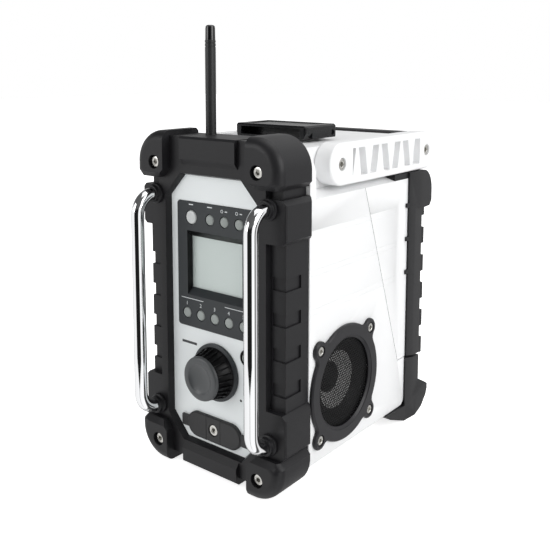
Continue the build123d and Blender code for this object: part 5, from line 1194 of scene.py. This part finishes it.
class RADIO_OT_stage(bpy.types.Operator):
    """Pale floor, studio light and camera"""
    bl_idname = "radio.stage"
    bl_label = "Stage"

    def execute(self, context):
        context.scene.view_settings.view_transform = "Standard"
        deselect()
        bpy.ops.mesh.primitive_plane_add(size=FLOOR_SIZE, location=(0, 0, -FLOOR_DROP * MM))
        floor = named("floor")
        material, tree, shader, _ = plain_material("Studio floor")
        put(shader, {"Base Color": (FLOOR_GREY, FLOOR_GREY, FLOOR_GREY, 1), "Roughness": FLOOR_ROUGHNESS,
                     "Emission Color": (1, 1, 1, 1)})
        seen = tree.nodes.new("ShaderNodeLightPath").outputs["Is Camera Ray"]
        wire(tree, (maths(tree, "MULTIPLY", seen, FLOOR_GLOW), shader.inputs["Emission Strength"]))
        floor.data.materials.append(material)
        floor.visible_glossy = False
        self.light_world(context)
        for name, place, size, power in LAMPS:
            lamp = bpy.data.lights.new(name, "AREA")
            lamp.energy, lamp.size = power, size
            light = bpy.data.objects.new(name, lamp)
            light.location = place
            light.rotation_mode = "QUATERNION"
            light.rotation_quaternion = (Vector(LAMP_AIM) - Vector(place)).to_track_quat("-Z", "Y")
            context.scene.collection.objects.link(light)
        self.set_camera(context)
        return {"FINISHED"}

    def light_world(self, context):
        """White behind the radio, a soft even light on it, and dark panels for gloss to mirror."""
        world = bpy.data.worlds.new("Studio")
        context.scene.world = world
        world.use_nodes = True
        tree = world.node_tree
        shade = tree.nodes["Background"]
        paths = tree.nodes.new("ShaderNodeLightPath")
        direction = tree.nodes.new("ShaderNodeTexCoord").outputs["Generated"]
        split = tree.nodes.new("ShaderNodeSeparateXYZ")
        wire(tree, (direction, split.inputs[0]))
        azimuth = maths(tree, "ARCTAN2", split.outputs["Y"], split.outputs["X"])
        round_share = maths(tree, "ADD", maths(tree, "DIVIDE", azimuth, 2 * math.pi), 0.5)
        walls, sky = (self.ramp(tree, round_share, stops) for stops in (PANELS, SKY))
        up = self.share(tree, split.outputs["Z"], *SKY_LINE)
        foot = self.share(tree, split.outputs["Z"], *STRIP_FOOT)
        middle_angle, half = (math.radians(value) for value in STRIP)
        off = maths(tree, "ABSOLUTE", maths(tree, "SUBTRACT", azimuth, middle_angle))
        outside = maths(tree, "SUBTRACT", off, maths(tree, "MULTIPLY", foot, half))
        light = maths(tree, "MINIMUM", maths(tree, "MULTIPLY", outside, STRIP_EDGE), 1.0)
        strip = maths(tree, "MAXIMUM", light, STRIP_GREY)
        lower = maths(tree, "MULTIPLY", maths(tree, "MULTIPLY", walls, strip),
                      maths(tree, "SUBTRACT", 1.0, up))
        mirrored = maths(tree, "ADD", lower, maths(tree, "MULTIPLY", sky, up))
        glossy, camera = paths.outputs["Is Glossy Ray"], paths.outputs["Is Camera Ray"]
        gloss = maths(tree, "MULTIPLY", mirrored, glossy)
        soft = maths(tree, "MULTIPLY", maths(tree, "SUBTRACT", 1.0, glossy), AMBIENT)
        unseen = maths(tree, "MULTIPLY", maths(tree, "ADD", gloss, soft),
                       maths(tree, "SUBTRACT", 1.0, camera))
        wire(tree, (maths(tree, "ADD", unseen, camera), shade.inputs["Strength"]))
        put(shade, {"Color": (1, 1, 1, 1)})

    def ramp(self, tree, place, stops):
        """Greys along a 0 to 1 place, from (degrees, grey) stops round the horizon."""
        node = tree.nodes.new("ShaderNodeValToRGB")
        tree.links.new(place, node.inputs[0])
        elements = node.color_ramp.elements
        for element, (degrees, grey) in zip(elements, (stops[0], stops[-1])):
            element.position = degrees / 360 + 0.5
            element.color = (grey, grey, grey, 1)
        for degrees, grey in stops[1:-1]:
            elements.new(degrees / 360 + 0.5).color = (grey, grey, grey, 1)
        return node.outputs["Color"]

    def share(self, tree, value, low, high):
        """0 below low, 1 over high."""
        rise = maths(tree, "DIVIDE", maths(tree, "SUBTRACT", value, low), high - low)
        return maths(tree, "MINIMUM", maths(tree, "MAXIMUM", rise, 0.0), 1.0)

    def set_camera(self, context):
        """The camera of the main view."""
        camera = bpy.data.objects.new("camera", bpy.data.cameras.new("camera"))
        context.scene.collection.objects.link(camera)
        camera.data.sensor_width = CAMERA_SENSOR
        camera.data.lens = CAMERA_LENS
        camera.data.shift_x, camera.data.shift_y = CAMERA_SHIFT
        camera.location = CAMERA_PLACE
        level = math.cos(CAMERA_PITCH)
        look = Vector((math.sin(CAMERA_YAW) * level, math.cos(CAMERA_YAW) * level, math.sin(CAMERA_PITCH)))
        camera.rotation_mode = "QUATERNION"
        camera.rotation_quaternion = look.to_track_quat("-Z", "Y")
        camera.data.clip_start, camera.data.clip_end = CAMERA_CLIP
        context.scene.camera = camera


class RADIO_PT_panel(bpy.types.Panel):
    """Buttons that build the radio"""
    bl_idname = "RADIO_PT_panel"
    bl_label = "Jobsite Radio"
    bl_space_type = "VIEW_3D"
    bl_region_type = "UI"
    bl_category = "Radio"

    def draw(self, context):
        for operator in OPERATORS:
            self.layout.operator(operator.bl_idname)


OPERATORS = (RADIO_OT_stage, RADIO_OT_shells, RADIO_OT_guards, RADIO_OT_roll_bars, RADIO_OT_front,
             RADIO_OT_plate, RADIO_OT_knob, RADIO_OT_speakers, RADIO_OT_antenna, RADIO_OT_handle,
             RADIO_OT_latch, RADIO_OT_bolts, RADIO_OT_inner)
CLASSES = (RADIO_PG_finish, RADIO_PG_detail, *OPERATORS, RADIO_PT_panel)


def register():
    for cls in CLASSES:
        bpy.utils.register_class(cls)
    bpy.types.Scene.radio_finish = bpy.props.PointerProperty(type=RADIO_PG_finish)
    bpy.types.Scene.radio_detail = bpy.props.PointerProperty(type=RADIO_PG_detail)


def unregister():
    del bpy.types.Scene.radio_detail
    del bpy.types.Scene.radio_finish
    for cls in reversed(CLASSES):
        bpy.utils.unregister_class(cls)


def main():
    """Builds the radio."""
    register()
    for operator in OPERATORS:
        group, action = operator.bl_idname.split(".")
        getattr(getattr(bpy.ops, group), action)()
    deselect()


if __name__ == "__main__":
    main()
